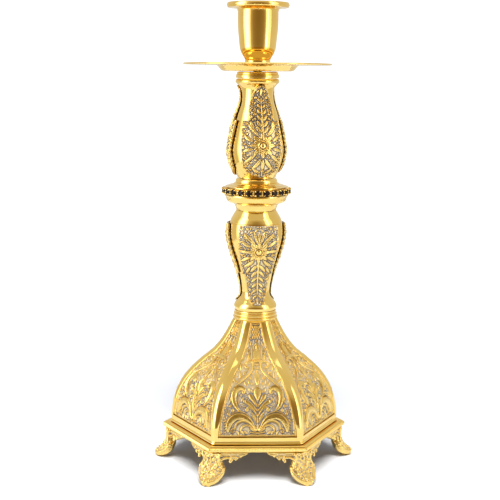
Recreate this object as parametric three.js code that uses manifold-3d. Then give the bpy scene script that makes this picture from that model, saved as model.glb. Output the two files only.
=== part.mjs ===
// Altar candlestick, in millimetres, standing on z = 0 with its axis on +Z.
// A hexagonal bell base on six scrolled feet carries two turned balusters with a
// stone-set node between them, a drip pan and a candle socket. Every piece of the
// column is threaded on one tie rod. The hexagon has corners on +X and -X, and a
// panel facing -Y.
import * as THREE from 'three';
import { mergeVertices } from 'three/addons/utils/BufferGeometryUtils.js';
import Module from 'manifold-3d';

const wasm = await Module();
wasm.setup();

// ---- driving dimensions ----
const SIDES = 6;
const SIXTH_TURN = Math.PI / 3;
const HEIGHT = 300;
const GAP = 0.3; // clearance left between touching pieces
const ROD_RADIUS = 3; // M6 tie rod
const ROD_SEGMENTS = 16;
const TURNED_SEGMENTS = 24;
const BORE_RADIUS = 3.4; // clearance hole for the rod

// heights of the joints in the stack, from the floor up
const PLATE_BOTTOM = 20.7;
const BELL_BOTTOM = 24.4;
const BELL_TOP = 95.7;
const LOWER_BALUSTER_BOTTOM = 101.9;
const NODE_BOTTOM = 168;
const RING_BOTTOM = 178.5;
const CAP_BOTTOM = 182.9;
const UPPER_BALUSTER_BOTTOM = 189;
const UPPER_COLLAR_BOTTOM = 252.7;
const PAN_BOTTOM = 257;
const PAN_BRIM_TOP = 262.2;
const SOCKET_BOTTOM = 258.5;

const CANDLE_RADIUS = 11.3; // takes a 22.2 mm (7/8 in) candle
const CANDLE_FLOOR = 272;
const ROD_TOP = 267.2;
const ROD_BOTTOM = 82.5;

const BELL_CORNER = 56.1; // corner radius of the bell's bottom band
const BELL_WALL = 2.9; // wall, measured along a corner radius
const ROOF = 2.7; // thickness of the bell's flat top
const PANEL_BOTTOM = 29.3;
const PANEL_TOP = 94.5;
const PANEL_DEPTH = 1.1;
const FRAME_FOOT = 3.1; // width of the plain frame beside a panel's foot
const FRAME_SWELL = 1.4; // how much wider the frame is halfway up
const FRAME_SPREAD = 1.3; // how much wider the frame is at the top than at the foot
const PLATE_CORNER = 61.7;
const PLATE_INNER_CORNER = 51;
const PEG_DEPTH = 2; // how far a foot's peg enters the plate
const FOOT_PEG_RADIUS = 1.8;
const FOOT_PEG_PLACE = 55.4;

const PAN_RADIUS = 47.8;
const SHEET = 0.8; // thickness of the applied ornament plates
const PLATES_ROUND = 3;
const UPPER_PLATE_TURN = THREE.MathUtils.degToRad(9.5);
const LOWER_PLATE_TURN = THREE.MathUtils.degToRad(4);
const STONES = 24;
const STONE_RADIUS = 1.25;
const RING_RADIUS = 21.3;
const RING_MIDDLE = 180.55;

// ---- materials ----
const finish = (color, roughness, metalness) =>
  new THREE.MeshStandardMaterial({ color, roughness, metalness, flatShading: true });
const polishedGold = finish(0xf0c25a, 0.12, 1);
const chasedGold = finish(0xdcae4c, 0.35, 1);
const blackStone = finish(0x120c08, 0.08, 0);
const steel = finish(0x9a9b9d, 0.35, 1);

// ---- shape helpers ----
const at = (x, y) => new THREE.Vector2(x, y);
const flowing = (points, steps) => new THREE.SplineCurve(points).getPoints(steps);

// Positions and triangles only, shared corners merged, flat triangles dropped.
function welded(geometry) {
  const bare = geometry.clone();
  bare.deleteAttribute('normal');
  bare.deleteAttribute('uv');
  const merged = mergeVertices(bare, 1e-4);
  const corners = merged.index.array;
  const kept = [];
  for (let i = 0; i < corners.length; i += 3) {
    const [a, b, c] = [corners[i], corners[i + 1], corners[i + 2]];
    if (a !== b && b !== c && c !== a) kept.push(a, b, c);
  }
  merged.setIndex(kept);
  return merged;
}

function solid(geometry) {
  const merged = welded(geometry);
  return new wasm.Manifold(new wasm.Mesh({
    numProp: 3,
    vertProperties: new Float32Array(merged.attributes.position.array),
    triVerts: new Uint32Array(merged.index.array),
  }));
}

function geometryOf(body) {
  const mesh = body.getMesh();
  const geometry = new THREE.BufferGeometry();
  geometry.setAttribute('position', new THREE.BufferAttribute(mesh.vertProperties, 3));
  geometry.setIndex(new THREE.BufferAttribute(mesh.triVerts, 1));
  return geometry;
}

// A profile of (radius, height) points turned about +Z.
function turned(profile, segments, turn = Math.PI / 2) {
  const geometry = new THREE.LatheGeometry(profile, segments, turn);
  geometry.rotateX(Math.PI / 2);
  return geometry;
}

// A cylinder standing on the axis.
function upright(radius, bottom, top, segments) {
  const geometry = new THREE.CylinderGeometry(radius, radius, top - bottom, segments);
  geometry.rotateX(Math.PI / 2);
  geometry.translate(0, 0, (top + bottom) / 2);
  return geometry;
}

// Closes an outline, drawn from its bottom to its top, on a bore of one radius.
function onBore(outline, bore) {
  const bottom = at(bore, outline[0].y);
  return [bottom, ...outline, at(bore, outline[outline.length - 1].y), bottom.clone()];
}

// The radius of an outline at a height, read off its straight stretches.
function radiusAt(outline, height) {
  for (let i = 1; i < outline.length; i += 1) {
    const [low, high] = [outline[i - 1], outline[i]];
    if (height >= low.y && height <= high.y && high.y > low.y) {
      return low.x + ((high.x - low.x) * (height - low.y)) / (high.y - low.y);
    }
  }
  return outline[outline.length - 1].x;
}

// A (sideways, height) outline standing in front of the axis and pushed back along +Y.
function pushedBack(shape, front, back, curveSegments) {
  const geometry = new THREE.ExtrudeGeometry(shape, {
    depth: front - back, bevelEnabled: false, curveSegments,
  });
  geometry.rotateX(Math.PI / 2);
  geometry.translate(0, -back, 0);
  return geometry;
}

// A symmetric outline from its right-hand edge, listed from the bottom up.
function mirrored(edge) {
  const other = edge.filter((point) => point.x > 0).map((point) => at(-point.x, point.y));
  return new THREE.Shape([...edge, ...other.reverse()]);
}

const candlestick = new THREE.Group();
candlestick.name = 'altar_candlestick';

function piece(name, geometry, material, turn = 0) {
  const mesh = new THREE.Mesh(geometry, material);
  mesh.name = name;
  mesh.rotation.z = turn;
  candlestick.add(mesh);
}

// A turned piece of the column, bored for the rod.
function column(name, outline) {
  piece(name, turned(onBore(outline, BORE_RADIUS), TURNED_SEGMENTS), polishedGold);
}

// ---- base bell: six ogee faces meeting at sharp arrises ----
const bellOutline = [
  at(BELL_CORNER, BELL_BOTTOM),
  ...flowing([
    at(BELL_CORNER, 28), at(55.6, 35), at(53.9, 43), at(50.5, 51.5), at(44.6, 60),
    at(36.1, 68.2), at(27.9, 75), at(22.3, 82), at(18.2, 89), at(14.8, BELL_TOP),
  ], 12),
];
const insetBell = (inset) => bellOutline.map((point) => at(point.x - inset, point.y));

function panelOutline(margin) {
  const steps = 6;
  const edge = [];
  for (let i = 0; i <= steps; i += 1) {
    const t = i / steps;
    const height = PANEL_BOTTOM + t * (PANEL_TOP - PANEL_BOTTOM);
    const frame = FRAME_FOOT + FRAME_SWELL * Math.sin(Math.PI * t) + FRAME_SPREAD * t;
    const lift = i === 0 ? -margin : i === steps ? margin : 0;
    edge.push(at(radiusAt(bellOutline, height) / 2 - frame + margin, height + lift));
  }
  return mirrored(edge);
}

// Every panel outline is cut right through one side of the bell, from near its axis.
const PRISM_FRONT = 60;
const PRISM_BACK = 3;
const panelPrism = (margin) => solid(pushedBack(panelOutline(margin), PRISM_FRONT, PRISM_BACK, 4));

// The layer of the bell between two insets from its outer faces, open at both ends.
function bellLayer(outer, inner) {
  const inside = insetBell(inner).reverse();
  const profile = [...insetBell(outer), ...inside];
  return solid(turned([...profile, profile[0].clone()], SIDES));
}

function baseBell() {
  const under = insetBell(BELL_WALL).filter((point) => point.y < BELL_TOP - ROOF - 1);
  const roof = at(radiusAt(bellOutline, BELL_TOP - ROOF) - BELL_WALL, BELL_TOP - ROOF);
  const profile = [
    ...bellOutline, at(0, BELL_TOP), at(0, BELL_TOP - ROOF), roof,
    ...under.reverse(), bellOutline[0].clone(),
  ];
  const bore = solid(upright(BORE_RADIUS, BELL_TOP - ROOF - 1, BELL_TOP + 1, ROD_SEGMENTS));
  let bell = solid(turned(profile, SIDES)).subtract(bore);
  const recess = bellLayer(-1, PANEL_DEPTH + GAP).intersect(panelPrism(GAP));
  for (let i = 0; i < SIDES; i += 1) {
    bell = bell.subtract(recess.rotate([0, 0, 60 * i]));
  }
  return geometryOf(bell);
}

piece('base_bell', baseBell(), polishedGold);

const panelGeometry = geometryOf(bellLayer(0.1, PANEL_DEPTH).intersect(panelPrism(0)));
for (let i = 0; i < SIDES; i += 1) {
  piece(`bell_panel_${i + 1}`, panelGeometry, chasedGold, i * SIXTH_TURN);
}

// ---- base plate: a hexagonal moulding under the bell, on the feet ----
const pegPlace = (i) => [
  FOOT_PEG_PLACE * Math.cos(i * SIXTH_TURN), FOOT_PEG_PLACE * Math.sin(i * SIXTH_TURN),
];

function basePlate() {
  const top = BELL_BOTTOM - GAP;
  const profile = [
    at(PLATE_INNER_CORNER, PLATE_BOTTOM), at(PLATE_CORNER - 0.4, PLATE_BOTTOM),
    at(PLATE_CORNER, PLATE_BOTTOM + 0.4), at(PLATE_CORNER, top - 0.6),
    at(PLATE_CORNER - 0.6, top), at(PLATE_CORNER - 2.2, top), at(PLATE_CORNER - 3.2, top - 0.4),
    at(PLATE_CORNER - 4.6, top - 0.4), at(PLATE_CORNER - 5.2, top), at(PLATE_INNER_CORNER, top),
  ];
  let plate = solid(turned([...profile, profile[0].clone()], SIDES));
  for (let i = 0; i < SIDES; i += 1) {
    const [x, y] = pegPlace(i);
    const hole = upright(FOOT_PEG_RADIUS + GAP, PLATE_BOTTOM - 1, PLATE_BOTTOM + PEG_DEPTH + GAP, 8);
    plate = plate.subtract(solid(hole).translate([x, y, 0]));
  }
  return geometryOf(plate);
}

piece('base_plate', basePlate(), polishedGold);

// ---- feet: a scrolled leg under each corner, with a wing along each side ----
const FOOT_TOP = PLATE_BOTTOM - GAP;

// Side view of the leg as (distance from the axis, height), toe outwards.
function legSide() {
  const shape = new THREE.Shape();
  shape.moveTo(61.2, 0);
  shape.lineTo(66.2, 0);
  shape.splineThru([at(66.9, 1.4), at(66.2, 4.4), at(64.4, 7), at(62.6, 6.4)]);
  shape.splineThru([at(60.4, 8.6), at(59.3, 12.4), at(59.1, 16), at(59.9, FOOT_TOP)]);
  shape.lineTo(53.4, FOOT_TOP);
  shape.splineThru([at(54.2, 13), at(55.4, 8.6), at(56.2, 4.2), at(58.4, 1.4)]);
  shape.lineTo(61.2, 0);
  return shape;
}

// Front view of the leg: a leaf, widest at its knee and narrow at its toe.
function legFront() {
  const edge = [at(4.9, 1.6), at(6.5, 5.4), at(7.1, 10), at(5.9, 14.6), at(6, FOOT_TOP)];
  return mirrored([at(3.6, 0), ...flowing(edge, 6)]);
}

// One wing as (distance along the side from the corner, height), with two drops.
const WING_LENGTH = 24;
function wingOutline() {
  const shape = new THREE.Shape();
  shape.moveTo(4, FOOT_TOP);
  shape.lineTo(5, 12.5);
  shape.splineThru([at(7.4, 14.4), at(9.6, 16.1), at(11.2, 15.8), at(12.8, 14.1)]);
  shape.splineThru([at(14.2, 15.6), at(16.1, 15.2), at(18, 16.8)]);
  shape.splineThru([at(20.6, 17.4), at(23.2, 18.4), at(WING_LENGTH, FOOT_TOP)]);
  return shape;
}

const WING_FACE = 52; // distance of a wing's outer face from the axis
const WING_THICKNESS = 2.6;

// The wing runs from the corner on +X along the side that faces 30 degrees towards -Y.
function wing() {
  const geometry = new THREE.ExtrudeGeometry(wingOutline(), {
    depth: WING_THICKNESS, bevelEnabled: false, curveSegments: 1,
  });
  geometry.rotateX(Math.PI / 2);
  geometry.rotateZ(Math.PI);
  geometry.translate(PLATE_CORNER / 2, -WING_FACE, 0);
  geometry.rotateZ(SIXTH_TURN);
  return solid(geometry);
}

// The two views of the leg are extruded over this room and intersected.
const LEG_ROOM = 10; // to each side of the leg's middle
const LEG_NEAR = 45; // distances from the axis
const LEG_FAR = 75;

function foot() {
  const side = pushedBack(legSide(), LEG_ROOM, -LEG_ROOM, 1);
  const front = pushedBack(legFront(), -LEG_NEAR, -LEG_FAR, 4);
  front.rotateZ(-Math.PI / 2);
  const leg = solid(side).intersect(solid(front));
  const peg = solid(upright(FOOT_PEG_RADIUS, FOOT_TOP - 2, PLATE_BOTTOM + PEG_DEPTH, 8));
  const half = wing();
  const winged = leg.add(half).add(half.mirror([0, 1, 0]));
  return geometryOf(winged.add(peg.translate([FOOT_PEG_PLACE, 0, 0])));
}

const footGeometry = foot();
for (let i = 0; i < SIDES; i += 1) {
  piece(`foot_${i + 1}`, footGeometry, chasedGold, i * SIXTH_TURN);
}

// ---- lower collar ----
const lowerCollarOutline = [
  at(14.6, BELL_TOP + GAP), at(14.7, 96.8), at(14, 97.2), at(14.2, 98), at(14.3, 98.8),
  at(14.1, 99.8), at(13.5, 100.3), at(13.6, 101), at(13.9, LOWER_BALUSTER_BOTTOM - GAP),
];
column('lower_collar', lowerCollarOutline);

// ---- lower baluster ----
const lowerBalusterOutline = [
  at(13.8, LOWER_BALUSTER_BOTTOM),
  ...flowing([
    at(14.1, 103.6), at(13.6, 106), at(11.8, 108.2), at(9.8, 110.8), at(9.5, 114), at(10.4, 121),
    at(12.9, 132.4), at(16.4, 143.7), at(17.8, 152.5), at(16.8, 161), at(14.8, 164.6),
    at(12.9, NODE_BOTTOM - GAP),
  ], 16),
];
column('lower_baluster', lowerBalusterOutline);

// ---- node: a bowl, a band of stones and a cap ----
const nodeBowlOutline = [
  at(13.2, NODE_BOTTOM), at(13.9, 169.6), at(14.9, 171), at(16.4, 172.3), at(18.4, 173.3),
  at(19.3, 174.4), at(19.9, 176), at(20.6, 177.2), at(20.8, RING_BOTTOM - GAP),
];
column('node_bowl', nodeBowlOutline);

const nodeCapOutline = [
  at(19.4, CAP_BOTTOM), at(18.6, 183.5), at(17.2, 184.2), at(15.6, 185.1), at(14.1, 185.6),
  at(14.2, 186.4), at(13.6, 187.7), at(12.6, UPPER_BALUSTER_BOTTOM - GAP),
];
column('node_cap', nodeCapOutline);

const SETTING_DEPTH = 1.6;
const STONE_REACH = 1.1; // how far a stone stands out of the band

function lyingOutwards(geometry) {
  geometry.rotateZ(-Math.PI / 2);
  return geometry;
}

function gemRing() {
  const outline = [
    at(RING_RADIUS - 0.6, RING_BOTTOM), at(RING_RADIUS, RING_BOTTOM + 0.5),
    at(RING_RADIUS, CAP_BOTTOM - GAP - 0.5), at(RING_RADIUS - 0.6, CAP_BOTTOM - GAP),
  ];
  const segments = 2 * STONES; // a flat for every stone and one between stones
  const turn = Math.PI / 2 + Math.PI / segments;
  let ring = solid(turned(onBore(outline, BORE_RADIUS), segments, turn));
  const seat = new THREE.CylinderGeometry(STONE_RADIUS + GAP, STONE_RADIUS + GAP, 4, 6);
  lyingOutwards(seat).translate(RING_RADIUS - SETTING_DEPTH + 2, 0, RING_MIDDLE);
  const pocket = solid(seat);
  for (let i = 0; i < STONES; i += 1) {
    ring = ring.subtract(pocket.rotate([0, 0, (i * 360) / STONES]));
  }
  return geometryOf(ring);
}

piece('gem_ring', gemRing(), polishedGold);

// A round stone with a flat table, lying on its side with the table outwards.
function stone() {
  const back = RING_RADIUS - SETTING_DEPTH + GAP;
  const front = RING_RADIUS + STONE_REACH;
  const profile = [
    at(0, back), at(STONE_RADIUS, back), at(STONE_RADIUS, front - 0.7),
    at(STONE_RADIUS * 0.6, front), at(0, front),
  ];
  const geometry = lyingOutwards(new THREE.LatheGeometry(profile, 6));
  geometry.translate(0, 0, RING_MIDDLE);
  return welded(geometry);
}

const stoneGeometry = stone();
for (let i = 0; i < STONES; i += 1) {
  const number = String(i + 1).padStart(2, '0');
  piece(`gem_stone_${number}`, stoneGeometry, blackStone, (i * 2 * Math.PI) / STONES);
}

// ---- upper baluster ----
const upperBalusterOutline = [
  at(12.4, UPPER_BALUSTER_BOTTOM),
  ...flowing([
    at(13.2, 191), at(14.6, 194.4), at(16.6, 199.6), at(17.6, 207), at(16.4, 215.5), at(13.4, 229),
    at(11, 237), at(10.3, 242.5), at(10.9, 246.4), at(12.9, 248.8), at(14.2, 250.9),
  ], 16),
  at(13.6, UPPER_COLLAR_BOTTOM - GAP),
];
column('upper_baluster', upperBalusterOutline);

const upperCollarOutline = [
  at(13.8, UPPER_COLLAR_BOTTOM), at(13.9, 253.4), at(13.7, 254.3), at(13.2, 254.6), at(13.5, 255.1),
  at(13.6, 256.1), at(13.2, PAN_BOTTOM - GAP),
];
column('upper_collar', upperCollarOutline);

// ---- applied ornament plates, bent round the balusters and standing off them ----
const blend = (value, from, to) => THREE.MathUtils.smoothstep(value, from, to);

// A sheet round the baluster: its outer face stands off by a height-dependent distance.
function sheetRound(outline, low, high, standOff) {
  const steps = 8;
  const outer = [];
  for (let i = 0; i <= steps; i += 1) {
    const height = low + ((high - low) * i) / steps;
    outer.push(at(radiusAt(outline, height) + standOff(height), height));
  }
  const inner = outer.map((point) => at(point.x - SHEET, point.y)).reverse();
  return solid(turned([...outer, ...inner, outer[0].clone()], TURNED_SEGMENTS));
}

const BOSS_RADIUS = 1.7;
const UPPER_BOSS_HEIGHT = 210.6;
const LOWER_BOSS_HEIGHT = 142;
const CUT_FRONT = 30; // a plate's outline is cut through the sheet between these distances
const CUT_BACK = 4;

function ornamentPlate(sheet, shape, outline, bossHeight) {
  const plate = sheet.intersect(solid(pushedBack(shape, CUT_FRONT, CUT_BACK, 3)));
  const boss = new THREE.SphereGeometry(BOSS_RADIUS, 6, 4);
  boss.rotateX(Math.PI / 2);
  boss.translate(0, -radiusAt(outline, bossHeight) - BOSS_RADIUS - 1.3 * GAP, bossHeight);
  return geometryOf(plate.add(solid(boss)));
}

const upperPlateShape = mirrored([
  at(0, 189.9), at(5.4, 191.8), at(9.8, 194.2),
  ...flowing([at(12.2, 196.8), at(13.4, 204), at(13.4, 211), at(12.8, 220), at(11.7, 226.4)], 4),
  ...flowing([at(8.3, 227.4), at(8.1, 232), at(6.4, 240), at(3.8, 245.6)], 4), at(0, 248.2),
]);
const upperSheet = sheetRound(
  upperBalusterOutline, 189.4, 248.4,
  (height) => 2.2 - blend(height, 222, 238) + 0.6 * blend(height, 242, 248),
);
const upperPlate = ornamentPlate(
  upperSheet, upperPlateShape, upperBalusterOutline, UPPER_BOSS_HEIGHT,
);
for (let i = 0; i < PLATES_ROUND; i += 1) {
  const turn = UPPER_PLATE_TURN + (i * 2 * Math.PI) / PLATES_ROUND;
  piece(`upper_ornament_${i + 1}`, upperPlate, chasedGold, turn);
}

const lowerPlateShape = mirrored([
  at(0, 106.4), at(3.6, 107),
  ...flowing([at(5.4, 108.8), at(6.6, 114), at(7.4, 120), at(8.4, 126.8)], 4),
  ...flowing([at(10, 128.2), at(12.4, 138), at(13.5, 147), at(13.2, 154), at(12, 159.2)], 4),
  at(6.2, 158.4), at(0, 157.9),
]);
const lowerSheet = sheetRound(
  lowerBalusterOutline, 106.2, 159.6, (height) => 1.2 + blend(height, 118, 140),
);
const lowerPlate = ornamentPlate(
  lowerSheet, lowerPlateShape, lowerBalusterOutline, LOWER_BOSS_HEIGHT,
);
for (let i = 0; i < PLATES_ROUND; i += 1) {
  const turn = LOWER_PLATE_TURN + (i * 2 * Math.PI) / PLATES_ROUND;
  piece(`lower_ornament_${i + 1}`, lowerPlate, chasedGold, turn);
}

// ---- drip pan: spun sheet with a shallow well and a flat brim ----
const PAN_SHEET = 1.2;
const PAN_SEGMENTS = 36;
function dripPan() {
  const well = 22;
  const brimUnder = PAN_BRIM_TOP - PAN_SHEET;
  return turned([
    at(BORE_RADIUS, PAN_BOTTOM), at(well + 0.4, PAN_BOTTOM), at(24.4, 258.4), at(26, 260.2),
    at(28.4, brimUnder), at(PAN_RADIUS - 0.7, brimUnder), at(PAN_RADIUS, PAN_BRIM_TOP - PAN_SHEET / 2),
    at(PAN_RADIUS - 0.7, PAN_BRIM_TOP), at(27.6, PAN_BRIM_TOP), at(24.9, 261),
    at(23.4, 259.4), at(well, PAN_BOTTOM + PAN_SHEET), at(BORE_RADIUS, PAN_BOTTOM + PAN_SHEET),
    at(BORE_RADIUS, PAN_BOTTOM),
  ], PAN_SEGMENTS);
}

piece('drip_pan', dripPan(), polishedGold);

// ---- candle socket: a turned cup with a flat rim, screwed on the rod ----
const RIM_RADIUS = 20;
function candleSocket() {
  const cup = flowing([
    at(10.3, SOCKET_BOTTOM + 0.9), at(8.6, 261), at(8.2, 263.6), at(9.2, 266.2),
    at(11.4, 270), at(12.2, 272.2),
  ], 7);
  const screw = ROD_TOP + GAP;
  return turned([
    at(BORE_RADIUS, SOCKET_BOTTOM), at(10.5, SOCKET_BOTTOM), ...cup, at(12.3, 273.2), at(12.6, 278.4),
    at(13, 283.5), at(13, 294.6), at(13.9, 296.1), at(16, 296.7), at(RIM_RADIUS - 0.6, HEIGHT - 3.3),
    at(RIM_RADIUS, HEIGHT - 2.6), at(RIM_RADIUS, HEIGHT - 0.6), at(RIM_RADIUS - 0.6, HEIGHT),
    at(CANDLE_RADIUS + 0.8, HEIGHT), at(CANDLE_RADIUS, HEIGHT - 1), at(CANDLE_RADIUS, CANDLE_FLOOR + 3.4),
    at(CANDLE_RADIUS - 0.5, CANDLE_FLOOR + 0.8), at(CANDLE_RADIUS - 1.3, CANDLE_FLOOR),
    at(0, CANDLE_FLOOR), at(0, screw), at(BORE_RADIUS, screw), at(BORE_RADIUS, SOCKET_BOTTOM),
  ], TURNED_SEGMENTS);
}

piece('candle_socket', welded(candleSocket()), polishedGold);

// ---- tie rod with its washer and nut, inside the bell ----
const WASHER_TOP = BELL_TOP - ROOF - GAP;
const WASHER_THICKNESS = 1.6;
const WASHER_RADIUS = 8.2;
const NUT_TOP = WASHER_TOP - WASHER_THICKNESS - GAP;
const NUT_HEIGHT = 5;
const NUT_CORNER = 5.77;

piece('tie_rod', upright(ROD_RADIUS, ROD_BOTTOM, ROD_TOP, ROD_SEGMENTS), steel);

const washer = [
  at(WASHER_RADIUS, WASHER_TOP - WASHER_THICKNESS), at(WASHER_RADIUS, WASHER_TOP),
];
piece('rod_washer', turned(onBore(washer, BORE_RADIUS), ROD_SEGMENTS), steel);

function rodNut() {
  const body = solid(upright(NUT_CORNER, NUT_TOP - NUT_HEIGHT, NUT_TOP, SIDES));
  const hole = solid(upright(BORE_RADIUS, NUT_TOP - NUT_HEIGHT - 1, NUT_TOP + 1, ROD_SEGMENTS));
  return geometryOf(body.subtract(hole));
}

piece('rod_nut', rodNut(), steel);

export default candlestick;
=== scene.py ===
"""The looks of an altar candlestick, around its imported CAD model.

Lengths are in millimetres until a mesh is made, when they become metres. Turned pieces
are fine lathes, the bell and its plate are hexagonal lofts, the chased plates are
height fields laid on the surfaces that they cover, and the feet are fused from tubes
and leaves as a casting is.
"""

import math

import bpy
import numpy as np
from mathutils import Matrix, Vector


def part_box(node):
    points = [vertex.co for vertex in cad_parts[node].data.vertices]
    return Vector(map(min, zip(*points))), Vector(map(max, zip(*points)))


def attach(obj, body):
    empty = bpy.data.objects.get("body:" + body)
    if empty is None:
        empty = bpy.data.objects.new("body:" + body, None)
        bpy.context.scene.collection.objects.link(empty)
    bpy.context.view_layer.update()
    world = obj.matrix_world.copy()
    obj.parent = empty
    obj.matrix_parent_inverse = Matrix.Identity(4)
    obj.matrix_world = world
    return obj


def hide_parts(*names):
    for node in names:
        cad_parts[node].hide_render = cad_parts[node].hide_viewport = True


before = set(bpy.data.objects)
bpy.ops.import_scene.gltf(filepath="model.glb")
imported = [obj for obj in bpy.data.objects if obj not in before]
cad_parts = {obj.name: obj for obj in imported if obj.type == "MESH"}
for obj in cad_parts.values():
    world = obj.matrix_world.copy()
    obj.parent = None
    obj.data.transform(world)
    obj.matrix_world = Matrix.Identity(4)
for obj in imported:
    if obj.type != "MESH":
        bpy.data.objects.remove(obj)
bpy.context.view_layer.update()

MM = 0.001
SIDES = 6
SIXTH = math.pi / 3
TURN = 2 * math.pi
FLAT = math.cos(SIXTH / 2)  # how far a hexagon's flats are from its middle, over its corners


def bottom(node):
    """A CAD node's lowest height, in millimetres."""
    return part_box(node)[0][2] / MM


def top(node):
    """A CAD node's highest height, in millimetres."""
    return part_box(node)[1][2] / MM


def around(count):
    """Evenly spaced angles round the axis."""
    return np.arange(count) * TURN / count


def ring(radius, height, angle):
    """A ring of points at one height; the radius may vary with the angle."""
    return np.column_stack([radius * np.cos(angle), radius * np.sin(angle), np.full(len(angle), height)])


def scene_object(name, data):
    """A new object in the scene."""
    made = bpy.data.objects.new(name, data)
    bpy.context.scene.collection.objects.link(made)
    return made


# ---------------------------------------------------------------- materials


def node_material(name):
    """A new material, its node tree and its shader."""
    material = bpy.data.materials.new(name)
    material.use_nodes = True
    tree = material.node_tree
    return material, tree, tree.nodes["Principled BSDF"]


def add(tree, kind, **settings):
    """A node with its properties and its input values set."""
    node = tree.nodes.new(kind)
    for key, value in settings.items():
        if key in node.inputs:
            node.inputs[key].default_value = value
        else:
            setattr(node, key, value)
    return node


def textured(tree, kind, stretch=(1, 1, 1), **settings):
    """A texture over the object's own coordinates, in features per metre."""
    coords = add(tree, "ShaderNodeTexCoord")
    mapping = add(tree, "ShaderNodeMapping", Scale=stretch)
    texture = add(tree, kind, **settings)
    tree.links.new(coords.outputs["Object"], mapping.inputs["Vector"])
    tree.links.new(mapping.outputs["Vector"], texture.inputs["Vector"])
    return texture


def noise(tree, scale, detail, stretch=(1, 1, 1)):
    """Cloudy noise."""
    return textured(tree, "ShaderNodeTexNoise", stretch, Scale=scale, Detail=detail)


def ramp(tree, source, stops):
    """A colour ramp from (position, colour) stops, driven by a value."""
    node = add(tree, "ShaderNodeValToRGB")
    elements = node.color_ramp.elements
    while len(elements) < len(stops):
        elements.new(0.5)
    for element, (position, colour) in zip(elements, stops):
        element.position = position
        element.color = (*colour, 1)
    tree.links.new(source, node.inputs["Fac"])
    return node


def grey(value):
    """A colour without hue."""
    return (value, value, value)


def feed(tree, shader, socket, source, stops):
    """A shader socket driven through a colour ramp by a texture or an attribute."""
    node = ramp(tree, source.outputs["Fac"], stops)
    tree.links.new(node.outputs["Color"], shader.inputs[socket])


def multiply(tree, first, second, factor):
    """Two colours multiplied, by a share of the whole effect."""
    node = add(tree, "ShaderNodeMix", data_type="RGBA", blend_type="MULTIPLY")
    node.inputs[0].default_value = factor
    tree.links.new(first, node.inputs[6])
    tree.links.new(second, node.inputs[7])
    return node.outputs[2]


def bump(tree, shader, layers):
    """Bumps chained into the shader's normal: (height output, depth in mm, strength)."""
    previous = None
    for height, depth, strength in layers:
        node = add(tree, "ShaderNodeBump", Strength=strength, Distance=depth * MM)
        tree.links.new(height, node.inputs["Height"])
        if previous is not None:
            tree.links.new(previous.outputs["Normal"], node.inputs["Normal"])
        previous = node
    tree.links.new(previous.outputs["Normal"], shader.inputs["Normal"])


GOLD = (0.93, 0.67, 0.22)
GOLD_DEEP = (0.88, 0.60, 0.17)


def polished_gold(name, turned):
    """Mirror-bright gilding with wiping scratches; lathe-turned pieces keep fine rings."""
    material, tree, shader = node_material(name)
    patches = noise(tree, 45, 4)
    feed(tree, shader, "Base Color", patches, [(0.35, GOLD_DEEP), (0.62, GOLD)])
    smudges = noise(tree, 160, 5)
    feed(tree, shader, "Roughness", smudges, [(0.3, grey(0.05)), (0.8, grey(0.15))])
    stretch = (6, 6, 900) if turned else (260, 260, 14)
    scratches = noise(tree, 4, 3, stretch)
    ripple = noise(tree, 70, 2)
    bump(tree, shader, [(ripple.outputs["Fac"], 0.05, 0.35), (scratches.outputs["Fac"], 0.006, 0.5)])
    shader.inputs["Metallic"].default_value = 1.0
    return material


def chased_gold(name):
    """Gilt relief: bright on its heights, greyer and duller in its recesses, punched. Its darkest tone
    also paints shade on the hidden backs of the applied plates.
    """
    material, tree, shader = node_material(name)
    depth = add(tree, "ShaderNodeAttribute", attribute_name="relief")
    stain = noise(tree, 220, 4)
    tint = ramp(tree, depth.outputs["Fac"], [
        (0.0, (0.08, 0.07, 0.065)), (0.06, (0.27, 0.23, 0.20)), (0.12, (0.56, 0.48, 0.36)),
        (0.18, (0.85, 0.68, 0.36)), (0.34, GOLD_DEEP), (0.7, GOLD),
    ])
    mottle = ramp(tree, stain.outputs["Fac"], [(0.3, grey(0.78)), (0.65, grey(1.0))])
    colour = multiply(tree, tint.outputs["Color"], mottle.outputs["Color"], 0.8)
    tree.links.new(colour, shader.inputs["Base Color"])
    feed(tree, shader, "Roughness", depth, [(0.0, grey(0.5)), (0.24, grey(0.34)), (0.8, grey(0.2))])
    feed(tree, shader, "Metallic", depth, [(0.06, grey(0.0)), (0.15, grey(1.0))])
    punches = textured(tree, "ShaderNodeTexVoronoi", Scale=1500.0, feature="F1")
    grain = noise(tree, 900, 3)
    bump(tree, shader, [(punches.outputs["Distance"], 0.10, 0.5), (grain.outputs["Fac"], 0.03, 0.4)])
    return material


def black_stone(name):
    """Near-black paste with a brown cast and a few fine scuffs."""
    material, tree, shader = node_material(name)
    cloud = noise(tree, 500, 2)
    feed(tree, shader, "Base Color", cloud, [(0.3, (0.006, 0.004, 0.003)), (0.7, (0.03, 0.014, 0.008))])
    feed(tree, shader, "Roughness", cloud, [(0.3, grey(0.03)), (0.8, grey(0.09))])
    scuffs = noise(tree, 2500, 2)
    bump(tree, shader, [(scuffs.outputs["Fac"], 0.004, 0.3)])
    shader.inputs["Specular IOR Level"].default_value = 0.12
    return material


def rod_steel(name):
    """Zinc-plated steel with drawn lines along its length."""
    material, tree, shader = node_material(name)
    patches = noise(tree, 300, 4)
    feed(tree, shader, "Base Color", patches, [(0.3, (0.42, 0.42, 0.44)), (0.7, (0.62, 0.62, 0.63))])
    feed(tree, shader, "Roughness", patches, [(0.3, grey(0.25)), (0.8, grey(0.42))])
    lines = noise(tree, 5, 3, (400, 400, 12))
    bump(tree, shader, [(lines.outputs["Fac"], 0.01, 0.5)])
    shader.inputs["Metallic"].default_value = 1.0
    return material


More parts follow.
